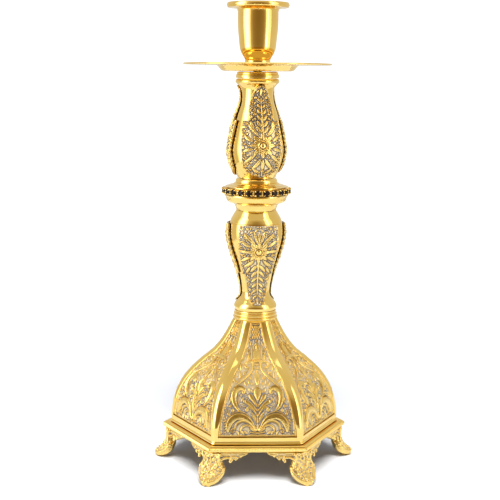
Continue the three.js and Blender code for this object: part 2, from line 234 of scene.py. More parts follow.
TURNED_GOLD = polished_gold("turned_gold", True)
PLATE_GOLD = polished_gold("polished_gold", False)
CHASED_GOLD = chased_gold("chased_gold")
STONE = black_stone("black_stone")
STEEL = rod_steel("rod_steel")

# ---------------------------------------------------------------- mesh tools


def flow(points, step=0.4):
    """A Catmull-Rom curve through points; columns past the first two ride along."""
    points = np.asarray(points, float)
    ends = np.vstack([2 * points[0] - points[1], points, 2 * points[-1] - points[-2]])
    pieces = []
    for p0, p1, p2, p3 in zip(ends, ends[1:], ends[2:], ends[3:]):
        count = max(2, int(np.hypot(*(p2 - p1)[:2]) / step))
        t = np.linspace(0, 1, count, endpoint=False)[:, None]
        even = 2 * p1 + (p2 - p0) * t + (2 * p0 - 5 * p1 + 4 * p2 - p3) * t**2
        pieces.append(0.5 * (even + (3 * p1 - p0 - 3 * p2 + p3) * t**3))
    pieces.append(points[-1:])
    return np.vstack(pieces)


def bead(start, end, rise, steps=10):
    """An arc from start to end of a profile, bulging to its right by rise."""
    start, end = np.asarray(start, float), np.asarray(end, float)
    t = np.linspace(0, 1, steps + 1)[:, None]
    along = end - start
    across = np.array([along[1], -along[0]]) / np.hypot(*along)
    return start + along * t + across * rise * np.sin(math.pi * t)


def profile(*stretches):
    """Stretches of (radius, height) points joined into one outline."""
    return np.vstack([np.atleast_2d(np.asarray(s, float)) for s in stretches])


def loft_faces(rows, cols, ends_joined=False):
    """Quads between rings of points, with a polygon over each end or the ends joined."""
    index = np.arange(rows * cols).reshape(rows, cols)
    grid = np.vstack([index, index[:1]]) if ends_joined else index
    grid = np.hstack([grid, grid[:, :1]])
    quads = np.stack([grid[:-1, :-1], grid[:-1, 1:], grid[1:, 1:], grid[1:, :-1]], -1)
    faces = quads.reshape(-1, 4).tolist()
    if not ends_joined:
        faces.append(index[0][::-1].tolist())
        faces.append(index[-1].tolist())
    return faces


def make_mesh(name, points, faces, material, sharp, relief=None):
    """A smooth-shaded mesh, creased where faces meet at more than sharp degrees."""
    mesh = bpy.data.meshes.new(name)
    mesh.from_pydata((np.asarray(points, float).reshape(-1, 3) * MM).tolist(), [], faces)
    mesh.polygons.foreach_set("use_smooth", [True] * len(mesh.polygons))
    mesh.set_sharp_from_angle(angle=math.radians(sharp))
    if relief is not None:
        layer = mesh.attributes.new("relief", "FLOAT", "POINT")
        layer.data.foreach_set("value", np.asarray(relief, np.float32).ravel())
    mesh.materials.append(material)
    mesh.update()
    return mesh


def loft_mesh(name, rings, material, sharp, ends_joined=False, relief=None):
    """A skin over rings of points that follow each other."""
    faces = loft_faces(len(rings), len(rings[0]), ends_joined)
    return make_mesh(name, rings, faces, material, sharp, relief)


def place(name, mesh, body, nodes, turn=0.0):
    """An object that rides a body and stands for CAD nodes, its mesh turned about the axis."""
    if turn:
        mesh = mesh.copy()
        mesh.transform(Matrix.Rotation(turn, 4, "Z"))
    piece = scene_object(name, mesh)
    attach(piece, body)
    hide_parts(*nodes)


def place_round(nodes, suffix, mesh, first=0.0):
    """One mesh for each CAD node, spaced evenly round the axis; first is the first one's turn."""
    for count, node in enumerate(nodes):
        place(node + suffix, mesh, "stand", [node], first + count * TURN / len(nodes))


def circle_rings(outline, segments):
    """Rings of an outline turned about the axis."""
    angle = around(segments)
    return np.array([ring(radius, height, angle) for radius, height in outline])


BORE = 3.4  # radius of the hole for the rod
SEAT_INSET, SEAT_DROP = 1.2, 0.28  # the lip that a turned piece sits on the piece below with


def turned_piece(node, outline, body="stand", segments=144):
    """A lathe in place of a CAD node, its outline's heights counted from its bottom.

    On the stand it also gets its seat and its bore; the pan's and the socket's outlines are whole.
    """
    if body == "stand":
        seat, high = outline[0, 0] - SEAT_INSET, outline[-1, 1]
        outline = profile([(seat, -SEAT_DROP), (seat, 0)], outline, [(BORE, high), (BORE, -SEAT_DROP)])
    rings = circle_rings(outline + np.array([0, bottom(node)]), segments)
    mesh = loft_mesh(node + "_turned", rings, TURNED_GOLD, 35, ends_joined=True)
    place(node + "_turned", mesh, body, [node])


# ---------------------------------------------------------------- turned column

# outlines run up the outside of a piece, in (radius, height above its bottom)


def lower_collar():
    return profile(
        bead((14.4, 0), (14.3, 1.5), 0.42), bead((13.9, 1.6), (13.9, 2.0), -0.15, 4),
        bead((14.0, 2.1), (13.8, 3.6), 0.4), bead((13.4, 3.7), (13.4, 4.2), -0.15, 4),
        bead((13.5, 4.3), (13.6, 5.5), 0.35),
    )


LOWER_BODY = flow([
    (13.4, 4.2), (11.7, 6.4), (9.9, 8.9), (9.5, 12.1), (10.4, 19.1), (12.9, 30.5), (16.4, 41.8),
    (17.8, 50.6), (17.3, 57.4),
])
UPPER_BODY = flow([
    (12.5, 0.3), (13.2, 2.2), (14.4, 5.0), (16.5, 10.6), (17.6, 18), (16.4, 26.5), (13.4, 40), (11, 48),
    (10.3, 53.5), (10.9, 57.3), (12.6, 59.6),
])


def lower_baluster():
    return profile(
        bead((13.6, 0), (13.5, 4.0), 0.62), LOWER_BODY,
        bead((17.25, 57.5), (17.1, 57.9), -0.22, 4),
        flow([(17.1, 58.0), (16.1, 60.6), (14.6, 63.2), (13.1, 65.7)]),
    )


def node_bowl():
    return profile(
        flow([(13.1, 0), (13.4, 1.4), (14.0, 2.9), (14.3, 3.6)]), bead((14.4, 3.7), (14.9, 4.3), 0.25, 5),
        flow([(15.6, 4.3), (17.8, 4.9), (19.3, 6.2), (19.8, 7.8)]), bead((19.9, 7.9), (20.8, 9.4), -0.2),
        [(20.8, 10.1)],
    )


def node_cap():
    return profile(
        [(19.9, 0), (20.2, 0.2), (20.2, 0.5)], bead((19.6, 0.6), (17.6, 1.3), -0.12),
        bead((17.5, 1.4), (14.4, 2.7), -0.45), bead((13.8, 2.8), (13.8, 3.1), -0.12, 3),
        bead((13.6, 3.2), (12.7, 5.7), 0.36),
    )


def upper_baluster():
    return profile(UPPER_BODY, bead((12.9, 59.8), (13.5, 63.3), 0.95))


def upper_collar():
    return profile(
        bead((13.75, 0), (13.75, 2.4), 0.2, 8), [(13.25, 2.5), (13.25, 2.65)],
        bead((13.35, 2.7), (13.0, 3.7), 0.2, 6), [(12.5, 4.0)],
    )


def drip_pan():
    """Spun sheet: a flat well, a soft rise and a level brim with a rounded edge."""
    return profile(
        [(BORE, 0), (21.6, 0)],
        flow([(21.6, 0), (23.3, 0.5), (24.6, 1.9), (26.0, 3.4), (28.2, 3.95), (30.0, 4.0)]),
        [(30.0, 4.0), (47.0, 4.0)], bead((47.1, 4.0), (47.1, 5.2), 0.68, 10),
        [(47.0, 5.2), (29.6, 5.2)],
        flow([(29.6, 5.2), (27.4, 5.1), (25.1, 4.3), (23.7, 2.8), (22.6, 1.6), (21.2, 1.2)]),
        [(21.2, 1.2), (BORE, 1.2)],
    )


def candle_socket():
    """A cup on a waisted stem, under a broad flat rim."""
    return profile(
        [(BORE, 0), (10.0, 0)], bead((10.1, 0.05), (10.1, 1.1), 0.4, 6),
        flow([
            (9.9, 1.2), (8.7, 2.5), (8.15, 4.9), (8.6, 6.9), (10.0, 9.1), (11.1, 11.5), (11.65, 13.9),
            (12.2, 19.2), (12.75, 24.6), (13.0, 30.0), (13.0, 35.6),
        ]),
        flow([(13.0, 35.7), (13.5, 37.3), (15.0, 38.1), (17.4, 38.3), (19.2, 38.25)]),
        bead((19.3, 38.25), (19.45, 41.45), 0.6, 10),
        [(19.2, 41.5), (12.4, 41.5)], bead((12.3, 41.5), (11.4, 40.7), -0.1, 5),
        [(11.3, 40.4), (11.3, 17.5)], flow([(11.3, 17.4), (11.0, 14.9), (9.9, 13.7), (8.4, 13.5)]),
        [(8.2, 13.5), (0.02, 13.5), (0.02, 9.0), (BORE, 9.0)],
    )


for turned_node, outline_of in (
    ("lower_collar", lower_collar), ("lower_baluster", lower_baluster), ("node_bowl", node_bowl),
    ("node_cap", node_cap), ("upper_baluster", upper_baluster), ("upper_collar", upper_collar),
):
    turned_piece(turned_node, outline_of())
turned_piece("drip_pan", drip_pan(), "pan", segments=200)
turned_piece("candle_socket", candle_socket(), "socket")

# ---------------------------------------------------------------- relief


def smoothstep(value, low, high):
    """From 0 at low to 1 at high, level at both."""
    t = np.clip((value - low) / (high - low), 0, 1)
    return t * t * (3 - 2 * t)


SHOULDER = 0.26  # how wide the side of a raised shape is
GROOVE = 0.30  # depth of the line cut round each raised shape
GROOVE_OUT = 0.24  # how far outside the shape the groove's middle runs
GROOVE_HALF = 0.378  # half the groove's width
GROOVE_SIDE = 0.21  # how wide the groove's sloping side is
MARGIN = 0.7  # how far from a shape the grid may be changed by it
PUNCH_PITCH, PUNCH_DEPTH = 0.95, 0.20  # the dimples punched into the ground
LEAST_HALF = 0.12  # half the width of the finest stroke


def crown(form, ratio):
    """How much of its rise a shape has at a share of the way from its middle to its edge."""
    dome = np.sqrt(np.clip(1 - ratio**2, 0, 1))
    return {
        "round": dome,
        "band": 0.72 + 0.28 * dome,
        "flat": np.ones_like(ratio),
        "leaf": 0.55 + 0.45 * ratio**2 + 0.5 * np.exp(-((ratio / 0.17) ** 2)),
        "gutter": 0.45 + 0.55 * ratio**2,
    }[form]


class Relief:
    """A height field in millimetres, built from strokes over an (across, up) grid."""

    def __init__(self, across, up):
        self.across = across
        self.up = up
        self.height = np.zeros(across.shape)
        self.moat = np.zeros(across.shape)

    def _near(self, line, reach):
        """The part of the grid within reach of a line."""
        low, high = line[:, :2].min(0) - reach, line[:, :2].max(0) + reach
        inside = (self.across > low[0]) & (self.across < high[0])
        return inside & (self.up > low[1]) & (self.up < high[1])

    def _raise(self, near, over, ratio, rise, form):
        """A shape and its groove, from the distance outside its edge and the share of its width."""
        side = smoothstep(-over, 0, SHOULDER)
        groove = np.clip((GROOVE_HALF - np.abs(over - GROOVE_OUT)) / GROOVE_SIDE, 0, 1)
        self.height[near] = np.maximum(self.height[near], rise * side * crown(form, ratio))
        self.moat[near] = np.maximum(self.moat[near], groove)

    def stroke(self, points, rise=0.7, form="band", both=True):
        """A tapering stroke along (across, up, half width) points, mirrored if both."""
        for sign in (1, -1) if both else (1,):
            line = flow(np.asarray(points, float) * [sign, 1, 1], 0.5)
            line[:, 2] = np.maximum(line[:, 2], LEAST_HALF)
            near = self._near(line, line[:, 2].max() + MARGIN)
            x, z = self.across[near], self.up[near]
            over, ratio = np.full(x.shape, 9.0), np.full(x.shape, 9.0)
            for a, b in zip(line, line[1:]):
                run = b[:2] - a[:2]
                t = np.clip(((x - a[0]) * run[0] + (z - a[1]) * run[1]) / max(run @ run, 1e-9), 0, 1)
                width = a[2] + (b[2] - a[2]) * t
                gap = np.hypot(x - a[0] - t * run[0], z - a[1] - t * run[1])
                closer = gap - width < over
                over = np.where(closer, gap - width, over)
                ratio = np.where(closer, gap / width, ratio)
            self._raise(near, over, ratio, rise, form)

    def ball(self, x, z, radius, rise=0.8, both=True, eye=0.0):
        """A dome, drilled with an eye if asked."""
        for sign in (1, -1) if both else (1,):
            line = np.array([[x * sign, z, radius]])
            near = self._near(line, radius + MARGIN)
            gap = np.hypot(self.across[near] - x * sign, self.up[near] - z)
            self._raise(near, gap - radius, gap / radius, rise, "round")
            if eye:
                hole = np.clip(1 - gap / (radius * eye), 0, 1) ** 0.5
                self.height[near] = np.where(hole > 0, self.height[near] * (1 - hole), self.height[near])

    def leaf(self, x, z, angle, length, width, rise=0.6, bend=0.0, both=True):
        """A pointed leaf from a root, turning by bend along its length."""
        t = np.linspace(0, 1, 6)
        heading = np.radians(angle + bend * t)
        step = length / 5
        dx = np.concatenate([[0], np.cumsum(np.cos(heading[:-1]) * step)])
        dz = np.concatenate([[0], np.cumsum(np.sin(heading[:-1]) * step)])
        half = width / 2 * np.sin(math.pi * np.clip(0.08 + 0.88 * t, 0, 1)) ** 0.8
        self.stroke(np.column_stack([x + dx, z + dz, half]), rise, "leaf", both)

    def curl(self, x, z, radius, start, sweep, width, rise=0.6, both=True, eye=0.4):
        """A volute winding in to a ball at its centre; angles in degrees."""
        t = np.linspace(0, 1, 9)
        angle = np.radians(start + sweep * t)
        reach = radius * (1 - 0.72 * t)
        half = width / 2 * (1 - 0.35 * t)
        path = np.column_stack([x + reach * np.cos(angle), z + reach * np.sin(angle), half])
        self.stroke(path, rise, "band", both)
        self.ball(x, z, radius * 0.36, rise * 1.1, both, eye)

    def stipple(self):
        """Punched dimples over the ground, jittered from cell to cell."""
        i, j = np.floor(self.across / PUNCH_PITCH), np.floor(self.up / PUNCH_PITCH)
        jitter_x = np.modf(np.abs(np.sin(i * 12.9898 + j * 78.233) * 43758.5453))[0] - 0.5
        jitter_z = np.modf(np.abs(np.sin(i * 39.346 + j * 11.135) * 24634.6345))[0] - 0.5
        x = self.across / PUNCH_PITCH - i - 0.5 - 0.4 * jitter_x
        z = self.up / PUNCH_PITCH - j - 0.5 - 0.4 * jitter_z
        return -PUNCH_DEPTH * np.clip(1 - np.hypot(x, z) / 0.4, 0, 1) ** 0.6

    def free(self, x, z, reach):
        """Whether nothing is raised within reach of a place on the grid."""
        row = np.clip(np.searchsorted(self.up[:, 0], z), 0, len(self.up) - 1)
        line = self.across[row]
        if z - reach < self.up[0, 0] or z + reach > self.up[-1, 0] or abs(x) + reach > line.max():
            return False
        near = self._near(np.array([[x, z]]), reach)
        return not (self.height[near] > 0.05).any()

    def fill(self, seed, tries, large, small):
        """Sprigs, curls and seeds wherever ground is left bare, alike on both sides."""
        chance = np.random.default_rng(seed)
        reach_x, low, high = self.across.max(), self.up[0, 0], self.up[-1, 0]
        for attempt in range(tries):
            size = large + (small - large) * attempt / tries
            x, z = chance.uniform(0, reach_x), chance.uniform(low, high)
            kind, angle = chance.integers(3), chance.uniform(0, 360)
            if x < size * 0.8 or not self.free(x, z, size * 0.72):
                continue
            if kind == 0 and size > 1.2:
                self.curl(x, z, size * 0.8, angle, 300, size * 0.42, 0.55)
            elif kind == 1 or size < 1.0:
                self.ball(x, z, size * 0.6, 0.55, eye=0.4)
            else:
                rootward = math.radians(angle)
                root = (x - size * 0.8 * math.cos(rootward), z - size * 0.8 * math.sin(rootward))
                self.leaf(*root, angle, size * 1.6, size * 0.75, 0.55, 20)

    def surface(self):
        """The finished heights: ground, punched and grooved round the shapes, and shapes."""
        ground = self.stipple() * (1 - self.moat) - GROOVE * self.moat
        return np.where(self.height > 0.02, self.height, ground)


def edged(heights, inset, middle, width, rise):
    """Heights with a raised line that runs at a constant distance inside the edge."""
    near = np.clip(1 - np.abs(inset - middle) / width, 0, 1)
    return np.where(near > 0, np.maximum(heights, rise * near**0.5), heights)


def shade_of(heights):
    """Heights carried to 0..1 for the gilding's colour."""
    return (heights + GROOVE) / (1.0 + GROOVE)


# ---------------------------------------------------------------- base bell

BELL_LOW, BELL_HIGH = bottom("base_bell"), top("base_bell")
BELL_BAND = 3.6  # height of the upright band at the bell's foot
BELL_WALL = 2.9  # wall, measured along a corner radius
ROOF = 2.7  # thickness of the bell's flat top
PANEL_LOW, PANEL_HIGH = bottom("bell_panel_1"), top("bell_panel_1")
PANEL_CLEAR = 0.25  # gap round a panel in its bed
FRAME_FOOT = 3.1  # width of the plain frame beside a panel's foot
FRAME_SWELL = 1.4  # how much wider the frame is halfway up
FRAME_SPREAD = 1.3  # how much wider the frame is at the top than at the foot
BED_DEPTH = 1.25  # how deep the bed under a panel is
# the rounded side of a panel's bed, as (distance outside the bed's edge, depth)
BED_SIDE = ((0.02, 0.02), (-0.12, 0.10), (-0.2, 0.28), (-0.22, BED_DEPTH))
FRAME_CROWN = 0.10  # how much the frames bulge
# the bead round the bell's foot, as (height, how far it stands out)
FOOT_BEAD = (
    (0, 0.25), (0.15, 0.55), (0.4, 0.7), (0.8, 0.62), (1.1, 0.4), (1.4, 0.14), (1.7, 0.03), (2.0, 0.0),
    (2.4, 0.0), (3.2, 0.0), (4.0, 0.0),
)

BELL_CORNERS = np.vstack([
    [(56.1, BELL_LOW - 1), (56.1, BELL_LOW + 1)],
    flow([
        (56.1, BELL_LOW + BELL_BAND), (55.6, 35), (53.9, 43), (50.5, 51.5), (44.6, 60), (36.1, 68.2),
        (27.9, 75), (22.3, 82), (18.2, 89), (14.8, BELL_HIGH),
    ]),
])


def bell_corner(height):
    """The radius to the bell's arris at a height."""
    return np.interp(height, BELL_CORNERS[:, 1], BELL_CORNERS[:, 0])


def panel_half(height):
    """Half the width of a panel at a height: the face less its frame."""
    t = np.clip((height - PANEL_LOW) / (PANEL_HIGH - PANEL_LOW), 0, 1)
    return bell_corner(height) / 2 - FRAME_FOOT - FRAME_SWELL * np.sin(math.pi * t) - FRAME_SPREAD * t


def face_point(face, along, out, height):
    """A point on one face: along it, out from the axis, and up. Face 0 looks along -Y."""
    turn = face * SIXTH
    x = along * math.cos(turn) + out * math.sin(turn)
    y = along * math.sin(turn) - out * math.cos(turn)
    return np.stack(np.broadcast_arrays(x, y, height), -1)


def bell_row(height, sunk, swell):
    """One ring of the bell: bevelled arrises, crowned frames and a sunk panel bed."""
    corner = float(bell_corner(height)) + swell / FLAT
    out, half = corner * FLAT, corner / 2
    edge = float(panel_half(height)) + PANEL_CLEAR
    bevel = min(1.1, half * 0.14)
    places = [-half + bevel * 0.45, -half + bevel]
    depths = [bevel * 0.30, 0.0]
    frame_span = half - bevel - edge
    for t in (0.15, 0.4, 0.65, 0.88):
        places.append(-half + bevel + frame_span * t)
        depths.append(-FRAME_CROWN * math.sin(math.pi * t) * sunk)
    for back, fall in BED_SIDE:
        places.append(-edge - back)
        depths.append(fall * sunk)
    places.append(-edge * 0.5)
    depths.append(BED_DEPTH * sunk)
    places, depths = np.array(places), np.array(depths)
    along = np.concatenate([places, -places[::-1]])
    deep = np.concatenate([depths, depths[::-1]])
    return np.vstack([face_point(i, along, out - deep, height) for i in range(SIDES)])


def bell_rows():
    """Heights with how far the panel bed is sunk and how far the face swells there."""
    rows = [(BELL_LOW + height, 0.0, swell) for height, swell in FOOT_BEAD]
    low, high = PANEL_LOW - PANEL_CLEAR, PANEL_HIGH + PANEL_CLEAR
    rows += [(low - 0.25, 0.0, 0.0), (low - 0.05, 0.06, 0.0), (low, 1.0, 0.0)]
    rows += [(height, 1.0, 0.0) for height in np.linspace(low + 0.4, high - 0.4, 110)]
    rows += [(high, 1.0, 0.0), (high + 0.05, 0.06, 0.0), (high + 0.2, 0.0, 0.0), (BELL_HIGH, 0.0, -0.05)]
    return rows


def base_bell():
    """The whole shell: outer faces, flat top, bore, and an even wall inside."""
    outer = [bell_row(*row) for row in bell_rows()]
    angle = np.arctan2(outer[0][:, 1], outer[0][:, 0])

    def inner_ring(height):
        row = bell_row(height, 0.0, 0.0)
        corner = float(bell_corner(height))
        row[:, :2] *= (corner - BELL_WALL) / corner
        return row

    under_roof = BELL_HIGH - ROOF
    inner = [inner_ring(height) for height in np.linspace(under_roof, BELL_LOW, 60)]
    rings = outer + [ring(BORE, BELL_HIGH, angle), ring(BORE, under_roof, angle)] + inner
    return loft_mesh("bell_shell", rings, PLATE_GOLD, 22, ends_joined=True)


place("bell_shell", base_bell(), "stand", ["base_bell"])

# ---------------------------------------------------------------- bell panels

BED = 0.85  # how far a panel's ground lies under its frame
PANEL_THICK = 0.35  # the sheet behind a panel's ground
PANEL_SEED, PANEL_TRIES = 7, 1500


def leaf_scrolls(relief):
    """The plant's tied foot, its great arched leaves and the scrolls that they shelter."""
    stroke, leaf, curl = relief.stroke, relief.leaf, relief.curl
    stroke([(-4.5, 2.8, 0.4), (0, 2.4, 0.5), (4.5, 2.8, 0.4)], 0.8, both=False)
    stroke([(0.9, 0.9, 0.5), (4.3, 1.0, 0.55)], 0.7, "gutter")
    leaf(1.0, 3.4, 35, 4.2, 2.0, 0.7, -25)
    stroke([(0, 4.6, 1.0), (0, 6.2, 0.9), (0, 8.0, 0.3)], 0.75, "leaf", both=False)
    stroke([
        (1.0, 4.2, 0.5), (3.6, 8.4, 1.1), (6.5, 11.2, 1.6), (10.0, 12.7, 1.9), (13.8, 12.4, 2.05),
        (16.7, 10.2, 2.05), (18.3, 7.1, 1.75), (18.8, 3.6, 0.9),
    ], 1.0)
    stroke([
        (2.2, 8.2, 0.2), (5.4, 12.7, 0.3), (9.0, 15.2, 0.34), (13.2, 15.4, 0.34), (17.2, 13.4, 0.3),
        (19.8, 9.6, 0.2),
    ], 0.6)
    stroke([
        (2.4, 5.6, 0.4), (4.6, 8.3, 0.75), (8.2, 9.9, 0.9), (11.7, 9.3, 0.85), (14.0, 7.0, 0.7),
        (14.6, 4.8, 0.5),
    ], 0.75, "gutter")
    curl(15.4, 3.5, 1.9, 130, -330, 0.9, 0.8)
    stroke([
        (2.4, 4.0, 0.3), (4.8, 6.6, 0.6), (7.8, 7.2, 0.75), (10.2, 5.6, 0.7), (10.9, 2.6, 0.3),
    ], 0.6, "leaf")
    leaf(6.2, 2.0, 20, 3.2, 1.4, 0.5, 40)
    leaf(8.6, 1.2, 60, 3.4, 1.3, 0.5, -30)
    leaf(11.9, 1.0, 75, 3.2, 1.2, 0.45, -40)


def palmette(relief):
    """A fan of petals on a stem."""
    stroke, ball, leaf = relief.stroke, relief.ball, relief.leaf
    stroke([(0, 8.8, 0.5), (0, 15, 0.42), (0, 21.6, 0.35)], 0.75, both=False)
    stroke([(0.75, 8.6, 0.22), (0.9, 13.0, 0.2), (1.0, 16.0, 0.16)], 0.5)
    stroke([
        (0, 20.8, 0.2), (0, 23.2, 1.0), (0, 25.2, 2.1), (0, 27.0, 2.5), (0, 28.2, 1.6),
    ], 0.95, "gutter", both=False)
    stroke([(0.3, 18.6, 0.3), (2.4, 21.8, 0.95), (4.0, 24.0, 1.45), (4.7, 24.9, 1.1)], 0.85, "gutter")
    stroke([(0.3, 16.2, 0.3), (3.4, 19.1, 0.95), (6.2, 20.9, 1.25), (8.0, 21.5, 1.0)], 0.8, "gutter")
    ball(8.3, 21.6, 1.0, 0.85, eye=0.35)
    stroke([(0.4, 13.0, 0.3), (2.4, 16.4, 0.6), (4.8, 18.1, 0.65), (6.6, 17.9, 0.5)], 0.7)
    ball(6.7, 16.7, 1.25, 0.9, eye=0.4)
    stroke([(0.5, 9.4, 0.2), (1.9, 12.8, 0.5), (4.2, 15.3, 0.45)], 0.6, "leaf")
    leaf(1.2, 9.8, 62, 4.8, 1.3, 0.5, -22)


def horns(relief):
    """The horns that close round the palmette, with rosettes and leaves out to the frame."""
    stroke, ball, leaf = relief.stroke, relief.ball, relief.leaf
    stroke([
        (10.7, 15.6, 0.45), (12.6, 17.4, 0.95), (14.3, 20.0, 1.5), (15.1, 23.3, 1.85), (14.6, 26.4, 1.9),
        (12.6, 28.6, 1.7), (9.9, 29.1, 1.35), (7.9, 27.9, 0.9),
    ], 1.0, "gutter")
    ball(8.7, 26.7, 1.15, 0.95, eye=0.3)
    stroke([(9.4, 17.0, 0.2), (11.4, 19.4, 0.28), (12.3, 22.6, 0.3), (11.9, 25.0, 0.2)], 0.5)
    for x, z, radius in ((15.6, 16.3, 1.15), (18.4, 14.2, 1.05), (17.0, 18.9, 0.95), (8.6, 12.0, 0.5)):
        ball(x, z, radius, 0.8, eye=0.45)
    stroke([(21.4, 1.4, 0.25), (21.5, 6.5, 0.3), (20.8, 12.0, 0.26), (18.9, 17.8, 0.2)], 0.5)
    for z in (2.2, 4.0, 5.8, 7.6, 9.4):
        leaf(20.9, z, 128, 2.0, 0.8, 0.45)
    leaf(17.6, 20.6, 100, 4.4, 1.3, 0.5, 20)
    leaf(10.4, 21.4, 115, 3.6, 1.2, 0.45, 30)
    leaf(4.6, 26.8, 60, 2.6, 1.1, 0.45, 40)


def crossing_stems(relief):
    """Stems that cross on their way up to the bracket."""
    stroke, ball, leaf = relief.stroke, relief.ball, relief.leaf
    stroke([
        (15.0, 29.3, 0.3), (11.0, 32.0, 0.55), (7.2, 34.6, 0.6), (4.0, 37.4, 0.6), (2.7, 39.6, 0.7),
        (2.6, 42.0, 0.9),
    ], 0.85)
    stroke([(12.4, 33.2, 0.2), (9.4, 35.2, 0.26), (6.2, 38.0, 0.26), (4.6, 40.2, 0.2)], 0.5)
    stroke([(0, 30.4, 0.35), (0, 32.6, 1.3), (0, 34.6, 1.8), (0, 36.2, 1.1)], 0.9, both=False)
    ball(4.1, 34.4, 0.95, 0.75, eye=0.45)
    ball(3.5, 31.4, 0.85, 0.7, eye=0.4)
    ball(8.2, 36.9, 0.95, 0.75, eye=0.45)
    leaf(6.2, 30.2, 35, 3.4, 1.3, 0.5, 50)
    leaf(10.6, 34.4, 80, 3.6, 1.3, 0.5, 30)
    leaf(7.6, 40.0, 200, 3.0, 1.0, 0.45, -60)
    ball(0, 37.7, 0.95, 0.8, both=False, eye=0.5)
    for z in (39.4, 41.2):
        stroke([(-1.5, z, 0.3), (1.5, z, 0.3)], 0.6, both=False)
    stroke([(0, 38.9, 0.25), (0, 41.6, 0.25)], 0.5, both=False)


def bracket_and_urn(relief):
    """A bracket, a fluted urn on it, and scales from there to the top."""
    stroke, ball, leaf = relief.stroke, relief.ball, relief.leaf
    stroke([
        (0.0, 42.8, 0.85), (3.0, 42.8, 0.85), (5.6, 42.6, 0.75), (7.4, 41.6, 0.6), (7.6, 40.2, 0.5),
    ], 0.9)
    ball(6.6, 40.2, 0.85, 0.8, eye=0.4)
    stroke([(3.2, 44.2, 0.45), (3.2, 48.0, 0.42), (2.9, 51.4, 0.3)], 0.8)
    stroke([(0, 44.6, 2.1), (0, 47.6, 2.1)], 0.45, "flat", both=False)
    for x in (0.0, 0.95, 1.9):
        stroke([(x, 44.6, 0.16), (x, 48.4, 0.16)], 0.65, both=x > 0)
    stroke([(2.1, 49.2, 0.3), (1.4, 51.6, 0.45), (0, 53.0, 0.5)], 0.7)
    leaf(0, 48.8, 90, 3.8, 1.7, 0.7, both=False)
    stroke([(3.9, 47.4, 0.3), (5.2, 47.0, 0.45), (6.0, 48.4, 0.4), (5.2, 50.0, 0.3)], 0.7)
    ball(4.8, 48.9, 0.6, 0.7, eye=0.4)
    leaf(5.3, 43.8, 95, 3.0, 1.5, 0.6)
    leaf(4.0, 51.4, 100, 3.4, 1.1, 0.5, 20)
    ball(0, 54.4, 0.85, 0.8, both=False, eye=0.5)
    for row in range(5):
        z = 55.6 + 1.55 * row
        for x in (0.0, 1.5) if row % 2 else (0.75, 2.2):
            if x < 3.4 - 0.25 * row:
                leaf(x, z, 90, 2.0, 1.25, 0.55, both=x > 0)
    stroke([(-2.0, 63.4, 0.3), (0, 62.9, 0.35), (2.0, 63.4, 0.3)], 0.7, both=False)
    ball(0, 64.3, 0.7, 0.75, both=False, eye=0.4)


def bell_pattern(relief):
    """Scrolling leaves round a palmette, with horns, crossing stems and an urn above."""
    for motif in (leaf_scrolls, palmette, horns, crossing_stems, bracket_and_urn):
        motif(relief)


def bell_panel():
    """One chased panel, its pattern laid on the bell's ogee."""
    rows, cols = ((330, 236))
    heights = np.linspace(PANEL_LOW, PANEL_HIGH, rows)
    across = np.linspace(-1, 1, cols)
    half = panel_half(heights)
    along = half[:, None] * across
    up = np.broadcast_to(heights[:, None] - PANEL_LOW, along.shape)
    relief = Relief(along, up)
    bell_pattern(relief)
    relief.fill(PANEL_SEED, PANEL_TRIES, large=2.3, small=0.7)
    inset = np.minimum(half[:, None] - np.abs(along), np.minimum(up, PANEL_HIGH - PANEL_LOW - up))
    lift = edged(relief.surface(), inset, middle=0.5, width=0.38, rise=0.55)
    out = bell_corner(heights) * FLAT
    slope = np.gradient(out, heights)[:, None]
    lean = 1 / np.sqrt(1 + slope**2)
    ground = out[:, None] - BED
    front = face_point(0, along, ground + lift * lean, heights[:, None] - lift * lean * slope)
    back = face_point(0, along[:, [-1, 0]], ground - PANEL_THICK, heights[:, None])
    rings = np.concatenate([front, back], axis=1)
    shade = shade_of(np.concatenate([lift, np.zeros((rows, 2))], axis=1))
    return loft_mesh("bell_panel_relief", rings, CHASED_GOLD, 60, relief=shade)


panel_nodes = [f"bell_panel_{count + 1}" for count in range(SIDES)]
place_round(panel_nodes, "_chased", bell_panel())

# ---------------------------------------------------------------- base plate

PLATE_LOW, PLATE_HIGH = bottom("base_plate"), top("base_plate")
PLATE_OUT = 61.7 * FLAT
PLATE_HOLE = 44.3  # from the axis to the flats of the plate's opening
FLUTES = 64  # along each side
FLUTE_DEPTH, FLUTE_LEAN = 0.26, 0.35  # in mm, and in flutes per mm of height
FLUTE_SUNK = 0.1  # how far the lines between the flutes lie under the band's outline


